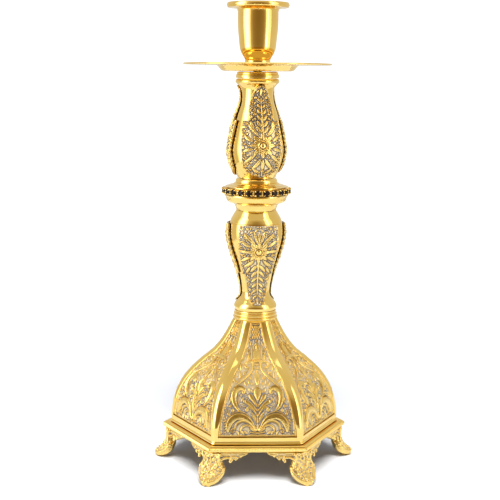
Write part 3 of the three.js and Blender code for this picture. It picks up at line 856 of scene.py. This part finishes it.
def base_plate():
    """A hexagonal moulding: a milled half-round edge and a shallow cove on top."""
    thick = PLATE_HIGH - PLATE_LOW
    band = PLATE_OUT - 0.55
    section = profile(
        [(PLATE_HOLE, 0), (PLATE_OUT - 0.9, 0)], bead((band, 0.1), (band, thick - 0.75), 0.5),
        [(PLATE_OUT - 0.8, thick - 0.7), (PLATE_OUT - 1.0, thick - 0.7), (PLATE_OUT - 1.2, thick - 0.75)],
        bead((PLATE_OUT - 1.3, thick - 0.8), (PLATE_OUT - 3.3, thick - 0.2), 0.75, 8),
        [(PLATE_OUT - 3.4, thick), (PLATE_HOLE, thick)],
    )
    steps = FLUTES * 8
    t = np.arange(steps) / steps
    rings = []
    fade = np.clip((1 - np.abs(2 * t - 1)) * 30, 0, 1)  # no flutes right at the corners
    for out, height in section:
        flute = FLUTE_DEPTH * np.abs(np.sin(math.pi * (t * FLUTES + height * FLUTE_LEAN))) - FLUTE_SUNK
        reach = out + flute * fade * (out > band - 0.2)
        along = out * math.tan(SIXTH / 2) * (2 * t - 1)
        rings.append(np.vstack([face_point(i, along, reach, height + PLATE_LOW) for i in range(SIDES)]))
    return loft_mesh("base_plate_milled", rings, PLATE_GOLD, 50, ends_joined=True)


place("base_plate_milled", base_plate(), "stand", ["base_plate"])

# ---------------------------------------------------------------- applied plates on the balusters


PLATE_CLEAR = 0.65  # gap between a baluster and the back of a plate
SHEET = 0.35  # how far a plate's ground lies under its stated stand-off
BOSS, BOSS_RISE = 1.95, 1.5  # the flower's boss
BOSS_RING, BOSS_RING_HALF = 2.75, 0.4  # the raised line round the boss
SCALLOP, SCALLOP_RATE = 0.22, 1.05  # the scallops along a plate's edge, in mm and radians per mm
PLATE_SEED, PLATE_TRIES = 11, 900


def applied_plate(name, body_outline, body_low, stand_off, edge, pattern, boss_height):
    """A bent sheet with a chased face: edge is its half width at heights up the column."""
    edge = np.asarray(edge, float)
    step, cols = ((0.23, 122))
    heights = np.unique(np.concatenate([np.arange(edge[0, 1], edge[-1, 1], step), edge[:, 1]]))
    half = np.interp(heights, edge[:, 1], edge[:, 0])
    half = half + SCALLOP * np.abs(np.sin(heights * SCALLOP_RATE)) * smoothstep(half, 3, 7)
    along = half[:, None] * np.linspace(-1, 1, cols)
    up = np.broadcast_to(heights[:, None], along.shape)
    relief = Relief(along, up)
    pattern(relief)
    relief.ball(0, boss_height, BOSS, BOSS_RISE, both=False)
    from_boss = np.hypot(along, up - boss_height)
    relief.height = edged(relief.height, from_boss, BOSS_RING, BOSS_RING_HALF, rise=0.8)
    relief.fill(PLATE_SEED, PLATE_TRIES, large=1.7, small=0.6)
    inset = half[:, None] - np.abs(along)
    lift = edged(relief.surface(), inset, middle=0.4, width=0.35, rise=0.32)
    body = np.interp(heights - body_low, body_outline[:, 1], body_outline[:, 0])
    sheet = (body + stand_off(heights) - SHEET)[:, None]
    angle = np.arcsin(np.clip(along / (sheet + 0.3), -0.99, 0.99))
    under = (body + PLATE_CLEAR)[:, None]

    def bent(radius, bend):
        return np.stack([radius * np.sin(bend), -radius * np.cos(bend), up], -1)

    front, back = bent(sheet + lift * 0.85, angle), bent(under, angle[:, ::-1] * 0.96)
    rim = bent(under, angle)
    rings = np.concatenate([front, rim[:, -1:], back, rim[:, :1]], axis=1)
    # painted shade: the plate's back, hidden against the baluster, takes the darkest groove tone so that
    # the gap behind the plate reads black; the rim strip at each edge stays gilt
    gilt, painted_shade_back = 0 * lift[:, :1] + 0.4, 0 * lift - GROOVE
    shade = shade_of(np.concatenate([lift, gilt, painted_shade_back, gilt], axis=1))
    return loft_mesh(name, rings, CHASED_GOLD, 60, relief=shade)


def flower(relief, centre, petals, inner, outer, width):
    """Veined petals round a boss, with short pointed ones between them."""
    long, short = (outer - inner, width, 0.75), ((outer - inner) * 0.62, width * 0.6, 0.5)
    for k in range(2 * petals):
        angle = math.pi / 2 + math.pi * k / petals
        root = (inner * math.cos(angle), centre + inner * math.sin(angle))
        relief.leaf(*root, math.degrees(angle), *(short if k % 2 else long), both=False)


UPPER_BOSS = 210.6


def upper_pattern(relief):
    """A flower with a leafy stem above it and curling leaves below."""
    stroke, leaf, curl = relief.stroke, relief.leaf, relief.curl
    flower(relief, UPPER_BOSS, 8, 3.2, 8.0, 2.7)
    stroke([(0, 219, 0.75), (0, 226, 0.65), (0, 234, 0.5), (0, 243.5, 0.25)], 0.8, both=False)
    for k in range(6):
        z = 218.5 + 3.9 * k
        leaf(0.5, z, 40, 5.6 - 0.55 * k, 2.0 - 0.14 * k, 0.7, 35)
    leaf(0, 241.6, 90, 4.8, 2.0, 0.7, both=False)
    leaf(6.0, 221.5, 62, 4.6, 1.9, 0.6, 25)
    leaf(3.2, 216.8, 48, 9.2, 2.4, 0.85, 12)
    leaf(6.4, 213.4, 20, 6.2, 2.1, 0.65, 40)
    leaf(6.8, 208.4, -8, 6.0, 2.1, 0.65, -25)
    leaf(5.2, 204.6, -34, 7.2, 2.3, 0.75, -20)
    leaf(1.6, 202.0, -62, 8.4, 2.4, 0.8, 28)
    curl(9.6, 199.4, 2.0, 120, -320, 0.9, 0.7)
    curl(9.8, 217.6, 1.7, 250, 300, 0.8, 0.65)
    leaf(0, 201.6, -90, 6.4, 2.6, 0.8, both=False)
    leaf(1.6, 194.6, 200, 1.8, 1.0, 0.4)
    leaf(1.2, 193.0, 20, 6.2, 1.8, 0.6, 24)
    stroke([(0, 191.2, 0.5), (0, 195.0, 0.35)], 0.6, both=False)


LOWER_BOSS = 142.0


def lower_pattern(relief):
    """A flower between two crossed leaves, over a long leafy stem."""
    stroke, leaf, curl = relief.stroke, relief.leaf, relief.curl
    flower(relief, LOWER_BOSS, 8, 3.2, 7.4, 2.5)
    leaf(1.8, 145.6, 50, 12.0, 2.6, 0.95, -6)
    leaf(0.9, 147.8, 68, 8.6, 1.8, 0.7, 10)
    leaf(0, 149.2, 90, 6.4, 2.0, 0.7, both=False)
    leaf(5.8, 145.8, 22, 6.8, 2.2, 0.7, 30)
    leaf(6.2, 142.2, 2, 6.6, 2.2, 0.75)
    leaf(5.6, 138.6, -22, 6.6, 2.2, 0.7, -20)
    leaf(3.2, 136.4, -48, 7.6, 2.3, 0.8, 30)
    curl(9.2, 152.4, 1.6, 200, 300, 0.8, 0.6)
    stroke([(0, 136.0, 0.8), (0, 126.0, 0.65), (0, 116.0, 0.5), (0, 108.6, 0.3)], 0.8, both=False)
    for k in range(6):
        z = 133.0 - 4.1 * k
        leaf(0.5, z, -38, 6.4 - 0.55 * k, 2.1 - 0.15 * k, 0.7, -22)
    leaf(5.4, 131.6, -60, 4.6, 1.8, 0.6, -10)
    leaf(0, 110.6, -90, 3.4, 1.7, 0.6, both=False)


UPPER_EDGE = [
    (0.3, 189.95), (3.4, 190.6), (6.2, 191.8), (10.2, 194.0), (12.2, 196.8), (13.2, 202.0), (13.5, 208.0),
    (13.4, 213.0), (12.8, 220.0), (11.9, 226.2), (8.4, 226.35), (8.1, 228.2), (8.2, 232.0), (7.4, 236.4),
    (6.3, 240.4), (5.2, 243.6), (3.8, 246.0), (2.2, 247.6), (0.3, 248.2),
]
LOWER_EDGE = [
    (2.4, 106.5), (3.9, 107.2), (5.2, 108.8), (6.2, 112.0), (7.0, 117.0), (7.9, 122.0), (8.6, 126.6),
    (10.3, 126.75), (10.9, 131.0), (12.4, 138.0), (13.3, 145.0), (13.5, 151.0), (13.1, 156.0),
    (12.2, 159.3),
]
upper_mesh = applied_plate(
    "upper_ornament_relief", UPPER_BODY, bottom("upper_baluster"),
    lambda z: 2.2 - smoothstep(z, 222, 238) + 0.6 * smoothstep(z, 242, 248),
    UPPER_EDGE, upper_pattern, UPPER_BOSS,
)
lower_mesh = applied_plate(
    "lower_ornament_relief", LOWER_BODY, bottom("lower_baluster"),
    lambda z: 1.2 + smoothstep(z, 118, 140), LOWER_EDGE, lower_pattern, LOWER_BOSS,
)
for level, plate_mesh, first in (("upper", upper_mesh, 9.5), ("lower", lower_mesh, 4.0)):
    plate_nodes = [f"{level}_ornament_{count + 1}" for count in range(3)]
    place_round(plate_nodes, "_chased", plate_mesh, math.radians(first))

# ---------------------------------------------------------------- band of stones

RING_LOW, RING_HIGH = bottom("gem_ring"), top("gem_ring")
RING_MIDDLE = (RING_LOW + RING_HIGH) / 2
RING_WALL = 21.2  # from the axis to the band that the stones are set on
STONES = 24
STONE_HALF = 2.1
# a stone's back, girdle, crown and table, as (share of its size, distance out from the band)
STONE_CUT = ((0.55, -0.9), (1.0, 0.15), (1.0, 0.45), (0.84, 1.0), (0.5, 1.3))
# a claw's root, knee and tip, as (out, aside, up, radius) from the middle of its stone's seat
CLAW = ((-0.2, 1.75, 1.6, 0.36), (1.0, 1.65, 1.5, 0.34), (1.3, 1.3, 1.2, 0.3))
GRAIN_ASIDE = 2.79  # from a stone's middle to the grains between it and the next


class Parts:
    """Points and faces gathered from many closed bodies into one mesh."""

    def __init__(self):
        self.points = []
        self.faces = []
        self.count = 0

    def add(self, points, faces):
        points = np.asarray(points, float).reshape(-1, 3)
        self.points.append(points)
        self.faces += [[i + self.count for i in face] for face in faces]
        self.count += len(points)

    def tube(self, path, segments=8):
        """A round-ended tube through (x, y, z, radius) points."""
        path = np.asarray(path, float)
        centre, radius = path[:, :3], path[:, 3]
        ahead = np.gradient(centre, axis=0)
        ahead /= np.linalg.norm(ahead, axis=1)[:, None]
        aside = np.cross(ahead, [0.31, 0.17, 0.93])
        aside /= np.linalg.norm(aside, axis=1)[:, None]
        above = np.cross(ahead, aside)
        last = len(path) - 1
        stops = [(i, 0.0, 1.0) for i in range(len(path))]
        stops = [(0, -0.95, 0.3), (0, -0.6, 0.8), *stops, (last, 0.6, 0.8), (last, 0.95, 0.3)]
        angle = around(segments)
        rings = [
            centre[i] + ahead[i] * radius[i] * beyond
            + radius[i] * size * (np.outer(np.cos(angle), aside[i]) + np.outer(np.sin(angle), above[i]))
            for i, beyond, size in stops
        ]
        self.add(rings, loft_faces(len(rings), segments))


def spin(point, angle):
    """A point given from the middle of a stone's seat, turned about the axis to its stone."""
    x, y, z = RING_WALL + point[0], point[1], RING_MIDDLE + point[2]
    return x * math.cos(angle) - y * math.sin(angle), x * math.sin(angle) + y * math.cos(angle), z


def gem_ring():
    """The setting band: two rims, and four claws and three grains for every stone."""
    parts = Parts()
    tall = RING_HIGH - RING_LOW
    outline = profile(
        bead((20.6, 0), (20.7, 0.4), 0.4, 6), [(RING_WALL, 0.45), (RING_WALL, tall - 0.45)],
        bead((20.7, tall - 0.4), (20.6, tall), 0.4, 6), [(BORE, tall), (BORE, 0)],
    ) + np.array([0, RING_LOW])
    rings = circle_rings(outline, 192)
    parts.add(rings, loft_faces(*rings.shape[:2], ends_joined=True))
    for stone in range(STONES):
        angle = stone * TURN / STONES

        def setting(stops, side=1, rise=1):
            parts.tube([(*spin((out, side * aside, rise * up), angle), r) for out, aside, up, r in stops])

        for side, rise in ((1, 1), (1, -1), (-1, 1), (-1, -1)):
            setting(CLAW, side, rise)
        for up in (-1.15, 0.0, 1.15):
            setting([(-0.1, GRAIN_ASIDE, up, 0.5), (0.45, GRAIN_ASIDE, up, 0.5)])
    return make_mesh("gem_ring_setting", np.vstack(parts.points), parts.faces, TURNED_GOLD, 40)


def stone_mesh():
    """A square-cut paste stone with cut corners: table, crown facets, girdle and back."""
    rings = []
    angle = around(8) + TURN / 16
    for size, out in STONE_CUT:
        aside, up = 1.06 * STONE_HALF * size * np.cos(angle), STONE_HALF * size * np.sin(angle)
        rings.append(np.column_stack([np.full(8, RING_WALL + out), aside, RING_MIDDLE + up]))
    return loft_mesh("gem_stone_cut", rings, STONE, 5)


place("gem_ring_setting", gem_ring(), "stand", ["gem_ring"])
stone_nodes = [f"gem_stone_{count + 1:02d}" for count in range(STONES)]
place_round(stone_nodes, "_cut", stone_mesh())

# ---------------------------------------------------------------- feet

FOOT_TOP = bottom("base_plate") - 0.3
WING_FACE = 52.0 / FLAT

# the leg's middle line (distance from the axis, height), half width and half thickness
LEG = flow([
    (56.2, FOOT_TOP, 6.4, 3.0), (55.8, 16.4, 6.0, 2.9), (55.6, 13.2, 6.7, 3.1), (55.9, 10.2, 8.2, 3.4),
    (57.2, 7.0, 8.3, 3.5), (59.6, 4.4, 7.2, 3.1), (62.2, 3.0, 5.9, 2.5), (64.2, 2.3, 4.5, 2.0),
    (65.6, 1.9, 3.0, 1.6), (66.5, 1.6, 1.2, 0.8),
], 0.8)
GRAIN_SEED, GRAIN_TRIES = 5, 260
PEG_OUT, PEG_RADIUS = 55.4, 1.7  # the peg that enters the base plate
SOFTENINGS = 4  # how often a foot's skin is smoothed to find its creases
RIDGE = 0.19  # height in millimetres over the smoothed skin that counts as one whole step


def leg_normal(i):
    """The way the leg's outer face looks at a stop, in the (out, up) plane."""
    back, ahead = LEG[max(i - 1, 0)], LEG[min(i + 1, len(LEG) - 1)]
    run = ahead[:2] - back[:2]
    run = run / np.hypot(*run)
    return np.array([-run[1], run[0]])


def leg_front(share, side, proud=0.0):
    """A point on the leg's outer face: share is 0 at its top and 1 at its toe, side from -1 to 1."""
    i = int(round(share * (len(LEG) - 1)))
    normal = leg_normal(i)
    middle, half, thick = LEG[i, :2], LEG[i, 2], LEG[i, 3]
    crown = thick * math.sqrt(max(0.0, 1 - 0.8 * side * side)) + proud
    out, up = middle + normal * crown
    return out, side * half, up


def wing_point(along, up, proud, hand):
    """A point on a wing's outer face, along the plate's side from its corner, at 60 degrees."""
    out = WING_FACE + proud / FLAT
    return out - 0.5 * along, -hand * 0.866 * along, up


def foot_parts():
    """A foot before it is fused: its leg, bands, pads, grains, wings and peg."""
    parts = Parts()
    angle = around(28)
    rings = []
    for i in range(len(LEG)):
        normal = leg_normal(i)
        c, s = np.cos(angle), np.sin(angle)
        wide = np.sign(c) * np.abs(c) ** 0.8 * LEG[i, 2]
        deep = np.sign(s) * np.abs(s) ** 0.8 * LEG[i, 3]
        rings.append(np.column_stack([LEG[i, 0] + normal[0] * deep, wide, LEG[i, 1] + normal[1] * deep]))
    parts.add(rings, loft_faces(len(rings), 28))

    def on_leg(stops, proud, hand=1):
        parts.tube([(*leg_front(share, side * hand, proud), radius) for share, side, radius in stops])

    # smooth bands down both sides, rolling in to a volute at the knee, a rim round the toe, and
    # a pad under it that is cut flat on the floor
    for side in (1, -1):
        on_leg([
            (0.02, 0.95, 1.0), (0.12, 0.86, 1.0), (0.24, 0.84, 0.95), (0.34, 0.9, 0.9), (0.42, 0.84, 0.85),
            (0.47, 0.66, 0.8), (0.45, 0.5, 0.75), (0.4, 0.5, 0.7),
        ], 0.3, side)
        on_leg([
            (0.6, 0.98, 0.75), (0.72, 0.97, 0.75), (0.84, 0.95, 0.7), (0.93, 0.8, 0.6), (0.98, 0.4, 0.5),
        ], 0.2, side)
        on_leg([(0.62, 0.15, 0.5), (0.66, 0.5, 0.6), (0.74, 0.62, 0.6), (0.82, 0.4, 0.45)], 0.3, side)
        on_leg([(0.06, 0.1, 0.5), (0.12, 0.4, 0.6), (0.2, 0.5, 0.5)], 0.3, side)
        parts.tube([(60.8, 1.5 * side, 1.0, 1.6), (64.6, 1.3 * side, 0.9, 1.45)], 14)
        for share in (0.4, 0.46, 0.52, 0.58):
            out, wide, up = leg_front(share, 1.0 * side, -0.5)
            parts.tube([(out - 0.6, wide, up, 1.0), (out + 0.6, wide, up, 0.85)])
    on_leg([(0.1, 0, 0.5), (0.2, 0, 0.75), (0.3, 0, 0.6)], 0.3)
    on_leg([(0.5, 0, 0.5), (0.58, 0, 0.8), (0.66, 0, 0.6)], 0.3)
    leg_grains(parts)
    for hand in (1, -1):
        wing(parts, hand)
    parts.tube([(PEG_OUT, 0, FOOT_TOP - 2, PEG_RADIUS), (PEG_OUT, 0, FOOT_TOP + 1.6, PEG_RADIUS)], 12)
    return parts


def wing(parts, hand):
    """A scrolled wing: a web with a drooping edge, C-scrolls and a row of drops."""
    lower = flow([
        (3.5, 12.8), (6.6, 14.0), (9.2, 16.0), (11.2, 15.8), (12.7, 14.6), (14.2, 15.9), (16.2, 15.5),
        (18.0, 16.9), (20.6, 17.6), (23.0, 18.7), (23.8, FOOT_TOP - 0.3),
    ], 0.7)
    rings = []
    for along, up in lower:
        high = FOOT_TOP - 0.1
        corners = [(0.0, up), (0.0, high), (-2.2, high), (-2.2, up)]
        rings.append([wing_point(along, z, proud - 0.3, hand) for proud, z in corners])
    faces = loft_faces(len(rings), 4)
    parts.add(rings, faces if hand < 0 else [face[::-1] for face in faces])

    def on_wing(stops, proud=0.0):
        parts.tube([(*wing_point(along, up, proud, hand), radius) for along, up, radius in stops])

    on_wing([
        (1.5, 9.6, 0.9), (3.6, 12.4, 0.95), (6.4, 15.2, 0.9), (9.6, 16.9, 0.85), (12.6, 16.7, 0.8),
        (14.0, 15.3, 0.7),
    ])
    on_wing([(2.0, 15.0, 0.6), (5.0, 17.4, 0.65), (8.4, 18.7, 0.6), (12.0, 18.7, 0.5)])
    on_wing([(12.9, 14.5, 1.15), (13.1, 14.9, 1.0)], 0.1)
    on_wing([(13.6, 17.6, 0.6), (15.8, 17.4, 0.7), (17.4, 16.6, 0.75)])
    on_wing([(16.3, 15.9, 0.9), (16.6, 16.1, 0.8)], 0.1)
    on_wing([(17.6, 18.6, 0.6), (20.0, 18.6, 0.7), (22.2, 18.9, 0.6), (23.4, 19.6, 0.4)])
    on_wing([(19.4, 17.6, 0.7), (19.8, 17.8, 0.6)])
    on_wing([(2.0, 19.5, 0.6), (8.0, 19.9, 0.5), (16.0, 19.9, 0.5), (23.0, 19.9, 0.45)])


def leg_grains(parts):
    """Grains of many sizes over the field between the leg's bands."""
    chance = np.random.default_rng(GRAIN_SEED)
    taken = []
    for attempt in range(GRAIN_TRIES):
        share, side = chance.uniform(0.05, 0.95), chance.uniform(-0.75, 0.75)
        size = 1.0 - 0.55 * attempt / GRAIN_TRIES
        spot = np.array(leg_front(share, side))
        if any(np.linalg.norm(spot - other) < size + near + 0.1 for other, near in taken):
            continue
        taken.append((spot, size))
        parts.tube([(*leg_front(share, side, proud), size) for proud in (-0.3, 0.2)], 6)


def cast_foot():
    """The parts fused into one skin, softened as a casting is, and flat underneath."""
    parts = foot_parts()
    rough = bpy.data.meshes.new("foot_rough")
    rough.from_pydata((np.vstack(parts.points) * MM).tolist(), [], parts.faces)
    blank = scene_object("foot_blank", rough)
    fuse = blank.modifiers.new("fuse", "REMESH")
    fuse.mode = "VOXEL"
    fuse.voxel_size = 0.26 * MM
    soften = blank.modifiers.new("soften", "SMOOTH")
    soften.factor, soften.iterations = 0.5, 2
    graph = bpy.context.evaluated_depsgraph_get()
    mesh = bpy.data.meshes.new_from_object(blank.evaluated_get(graph))
    bpy.data.objects.remove(blank)
    bpy.data.meshes.remove(rough)
    points = np.empty(len(mesh.vertices) * 3)
    mesh.vertices.foreach_get("co", points)
    points = points.reshape(-1, 3) / MM
    points[:, 2] = np.clip(points[:, 2], 0.0, FOOT_TOP + 2)
    mesh.vertices.foreach_set("co", (points * MM).ravel())
    mesh.polygons.foreach_set("use_smooth", [True] * len(mesh.polygons))
    mesh.name = "foot_cast"
    mesh.materials.clear()
    mesh.materials.append(CHASED_GOLD)
    normals = np.empty(len(mesh.vertices) * 3)
    mesh.vertices.foreach_get("normal", normals)
    layer = mesh.attributes.new("relief", "FLOAT", "POINT")
    layer.data.foreach_set("value", hollowness(mesh, points, normals.reshape(-1, 3)))
    mesh.update()
    return mesh


def hollowness(mesh, points, normals):
    """From 0 in the mesh's creases to 1 on its ridges, from each point's neighbours."""
    edges = np.empty(len(mesh.edges) * 2, np.int32)
    mesh.edges.foreach_get("vertices", edges)
    edges = edges.reshape(-1, 2)
    total = np.zeros_like(points)
    count = np.zeros(len(points))
    smooth = points.copy()
    for _ in range(SOFTENINGS):
        total[:], count[:] = 0, 0
        for a, b in ((0, 1), (1, 0)):
            np.add.at(total, edges[:, a], smooth[edges[:, b]])
            np.add.at(count, edges[:, a], 1)
        smooth = total / count[:, None]
    proud = ((points - smooth) * normals).sum(1)
    return np.clip(0.5 + proud / RIDGE, 0, 1).astype(np.float32)


place_round([f"foot_{count + 1}" for count in range(SIDES)], "_cast", cast_foot())

# ---------------------------------------------------------------- tie rod, washer and nut

ROD_RADIUS = 2.7
THREAD_PITCH, THREAD_ROOT, THREAD_DEPTH = 1.0, 2.45, 0.53
THREAD_LOW, THREAD_HIGH = 14, 16  # how much of the rod's two ends is threaded
NUT_FLAT = 5.0  # half the nut's width across its flats


def tie_rod():
    """A rod with a screw thread at each end."""
    low, high = bottom("tie_rod"), top("tie_rod")
    fine = THREAD_PITCH / 6
    first, last = low + THREAD_LOW, high - THREAD_HIGH
    plain = np.linspace(first + 0.5, last - 0.5, 20)
    heights = np.concatenate([np.arange(low, first, fine), plain, np.arange(last, high, fine), [high]])
    angle = around(32)
    turn = heights[:, None] / THREAD_PITCH - angle / TURN
    tooth = np.abs(2 * (turn - np.floor(turn)) - 1)
    threaded = ((heights < first) | (heights > last))[:, None]
    ends = np.clip(np.minimum(heights - low, high - heights), 0, 0.5)[:, None]
    radius = np.where(threaded, THREAD_ROOT + THREAD_DEPTH * tooth, ROD_RADIUS) - (0.5 - ends)
    rings = [ring(reach, height, angle) for reach, height in zip(radius, heights)]
    return loft_mesh("tie_rod_threaded", rings, STEEL, 50)


def rod_nut():
    """A hexagon nut with its corners turned off."""
    low, high = bottom("rod_nut"), top("rod_nut")
    angle = around(96)
    flats = NUT_FLAT / np.cos((angle % SIXTH) - SIXTH / 2)
    turned_off = [(4.9, low), (5.4, low + 0.35), (6.0, low + 0.7)]
    turned_off += [(6.0, high - 0.7), (5.4, high - 0.35), (4.9, high)]
    rings = [ring(np.minimum(flats, cone), height, angle) for cone, height in turned_off]
    hole = ((3.5, high), (3.1, high - 0.4), (3.1, low + 0.4), (3.5, low))
    rings += [ring(radius, height, angle) for radius, height in hole]
    return loft_mesh("rod_nut_hex", rings, STEEL, 30, ends_joined=True)


def rod_washer():
    """A flat ring with a rounded edge."""
    outline = profile(bead((8.0, 0), (8.0, 1.6), 0.2, 6), [(BORE, 1.6), (BORE, 0)])
    rings = circle_rings(outline + np.array([0, bottom("rod_washer")]), 96)
    return loft_mesh("rod_washer_round", rings, STEEL, 40, ends_joined=True)


place("tie_rod_threaded", tie_rod(), "stand", ["tie_rod"])
place("rod_nut_hex", rod_nut(), "stand", ["rod_nut"])
place("rod_washer_round", rod_washer(), "stand", ["rod_washer"])

# ---------------------------------------------------------------- floor, light and camera

FLOOR_REACH = 0.45  # metres
MIDDLE = (0, 0, 0.15)


def pale_floor():
    """A round pale sheet to stand on, small enough to leave the tent in the gold's reflections."""
    rim = ring(FLOOR_REACH, 0.0, around(96))
    mesh = bpy.data.meshes.new("floor")
    mesh.from_pydata(rim.tolist(), [], [list(range(len(rim)))])
    material, tree, shader = node_material("pale_floor")
    cloud = noise(tree, 3, 2)
    feed(tree, shader, "Base Color", cloud, [(0.3, grey(0.56)), (0.7, grey(0.58))])
    shader.inputs["Roughness"].default_value = 0.7
    mesh.materials.append(material)
    floor = scene_object("floor", mesh)


def area_lamp(name, at, width, height, power):
    """A rectangular lamp at a place."""
    lamp = bpy.data.lights.new(name, "AREA")
    lamp.shape = "RECTANGLE"
    lamp.size, lamp.size_y = width, height
    lamp.energy = power
    light = scene_object(name, lamp)
    light.location = at
    return light


def softbox(name, at, width, height, power):
    """A large lamp aimed at the candlestick's middle, for the gold and not for the floor."""
    light = area_lamp(name, at, width, height, power)
    light.visible_diffuse = False
    light.rotation_mode = "QUATERNION"
    light.rotation_quaternion = (Vector(MIDDLE) - Vector(at)).to_track_quat("-Z", "Y")


def remapped(tree, value, low, high):
    """A value carried from low..high to 0..1."""
    node = add(tree, "ShaderNodeMapRange")
    node.inputs["From Min"].default_value = low
    node.inputs["From Max"].default_value = high
    tree.links.new(value, node.inputs["Value"])
    return node.outputs["Result"]


def chosen(tree, switch, colour, other):
    """A colour, replaced by a plain one for the rays that a switch is on for."""
    mix = add(tree, "ShaderNodeMix", data_type="RGBA")
    tree.links.new(switch, mix.inputs[0])
    tree.links.new(colour, mix.inputs[6])
    mix.inputs[7].default_value = (*other, 1)
    return mix.outputs[2]


def studio_world():
    """A tent that gold reflects: dim towards the front, brighter round the sides.

    The camera sees plain white in it, and the floor is lit by it only weakly, so that
    the shadow under the base stays deep.
    """
    world = bpy.data.worlds.new("tent")
    world.use_nodes = True
    bpy.context.scene.world = world
    tree = world.node_tree
    background = tree.nodes["Background"]
    direction = add(tree, "ShaderNodeTexCoord")
    split = add(tree, "ShaderNodeSeparateXYZ")
    tree.links.new(direction.outputs["Generated"], split.inputs["Vector"])
    front = ramp(tree, remapped(tree, split.outputs["Y"], -1, 1), [
        (0.0, (0.26, 0.18, 0.075)), (0.07, (0.36, 0.26, 0.13)), (0.11, (0.55, 0.46, 0.30)),
        (0.18, (0.74, 0.69, 0.57)), (1.0, (0.80, 0.77, 0.69)),
    ])
    seen = add(tree, "ShaderNodeLightPath")
    matte = chosen(tree, seen.outputs["Is Diffuse Ray"], front.outputs["Color"], (0.24, 0.29, 0.38))
    plain = chosen(tree, seen.outputs["Is Camera Ray"], matte, grey(1.2))
    tree.links.new(plain, background.inputs["Color"])


def overhead_sun():
    """A broad light from above and in front for the floor's shadow, not mirrored in the gold."""
    lamp = bpy.data.lights.new("overhead", "SUN")
    lamp.energy = 6.2
    lamp.angle = math.radians(32)
    sun = scene_object("overhead", lamp)
    sun.rotation_euler = (math.radians(28), math.radians(-1), 0)
    sun.visible_glossy = False


def floor_fill():
    """A low lamp in front that opens the shadow under the base and isn't mirrored in the gold."""
    fill = area_lamp("floor_fill", (0, -0.55, 0.07), 0.5, 0.05, 1.8)
    fill.data.color = (0.70, 0.84, 1.0)
    fill.visible_glossy = False
    fill.rotation_euler = (math.radians(84), 0, 0)


pale_floor()
studio_world()
overhead_sun()
floor_fill()
softbox("left_box", (-1.00, -0.36, 0.25), 0.55, 2.0, 11.0)
softbox("left_fill", (-1.05, -0.38, 0.25), 1.0, 2.2, 5.0)
softbox("right_box", (0.84, -0.62, 0.25), 0.16, 2.0, 3.0)
softbox("right_fill", (0.95, -0.56, 0.25), 0.7, 2.2, 4.0)
softbox("top_box", (0.0, 0.1, 1.2), 0.7, 0.7, 1.6)

# the camera: its place and aim, with the base turned a little against it
CAMERA_BACK, CAMERA_UP, CAMERA_ASIDE = 0.6844, 0.2548, -0.0038
PITCH, ROLL, BASE_TURN = 0.165, 0.0092, 0.042
camera_data = bpy.data.cameras.new("camera")
camera_data.lens = 75.8
camera_data.sensor_width = 36
camera = scene_object("camera", camera_data)
bpy.context.scene.camera = camera
swing = Matrix.Rotation(-BASE_TURN, 4, "Z")
aim = Matrix.Rotation(math.pi / 2 - PITCH, 4, "X") @ Matrix.Rotation(ROLL, 4, "Z")
camera.matrix_world = swing @ Matrix.Translation((CAMERA_ASIDE, -CAMERA_BACK, CAMERA_UP)) @ aim
bpy.context.scene.view_settings.view_transform = "Standard"
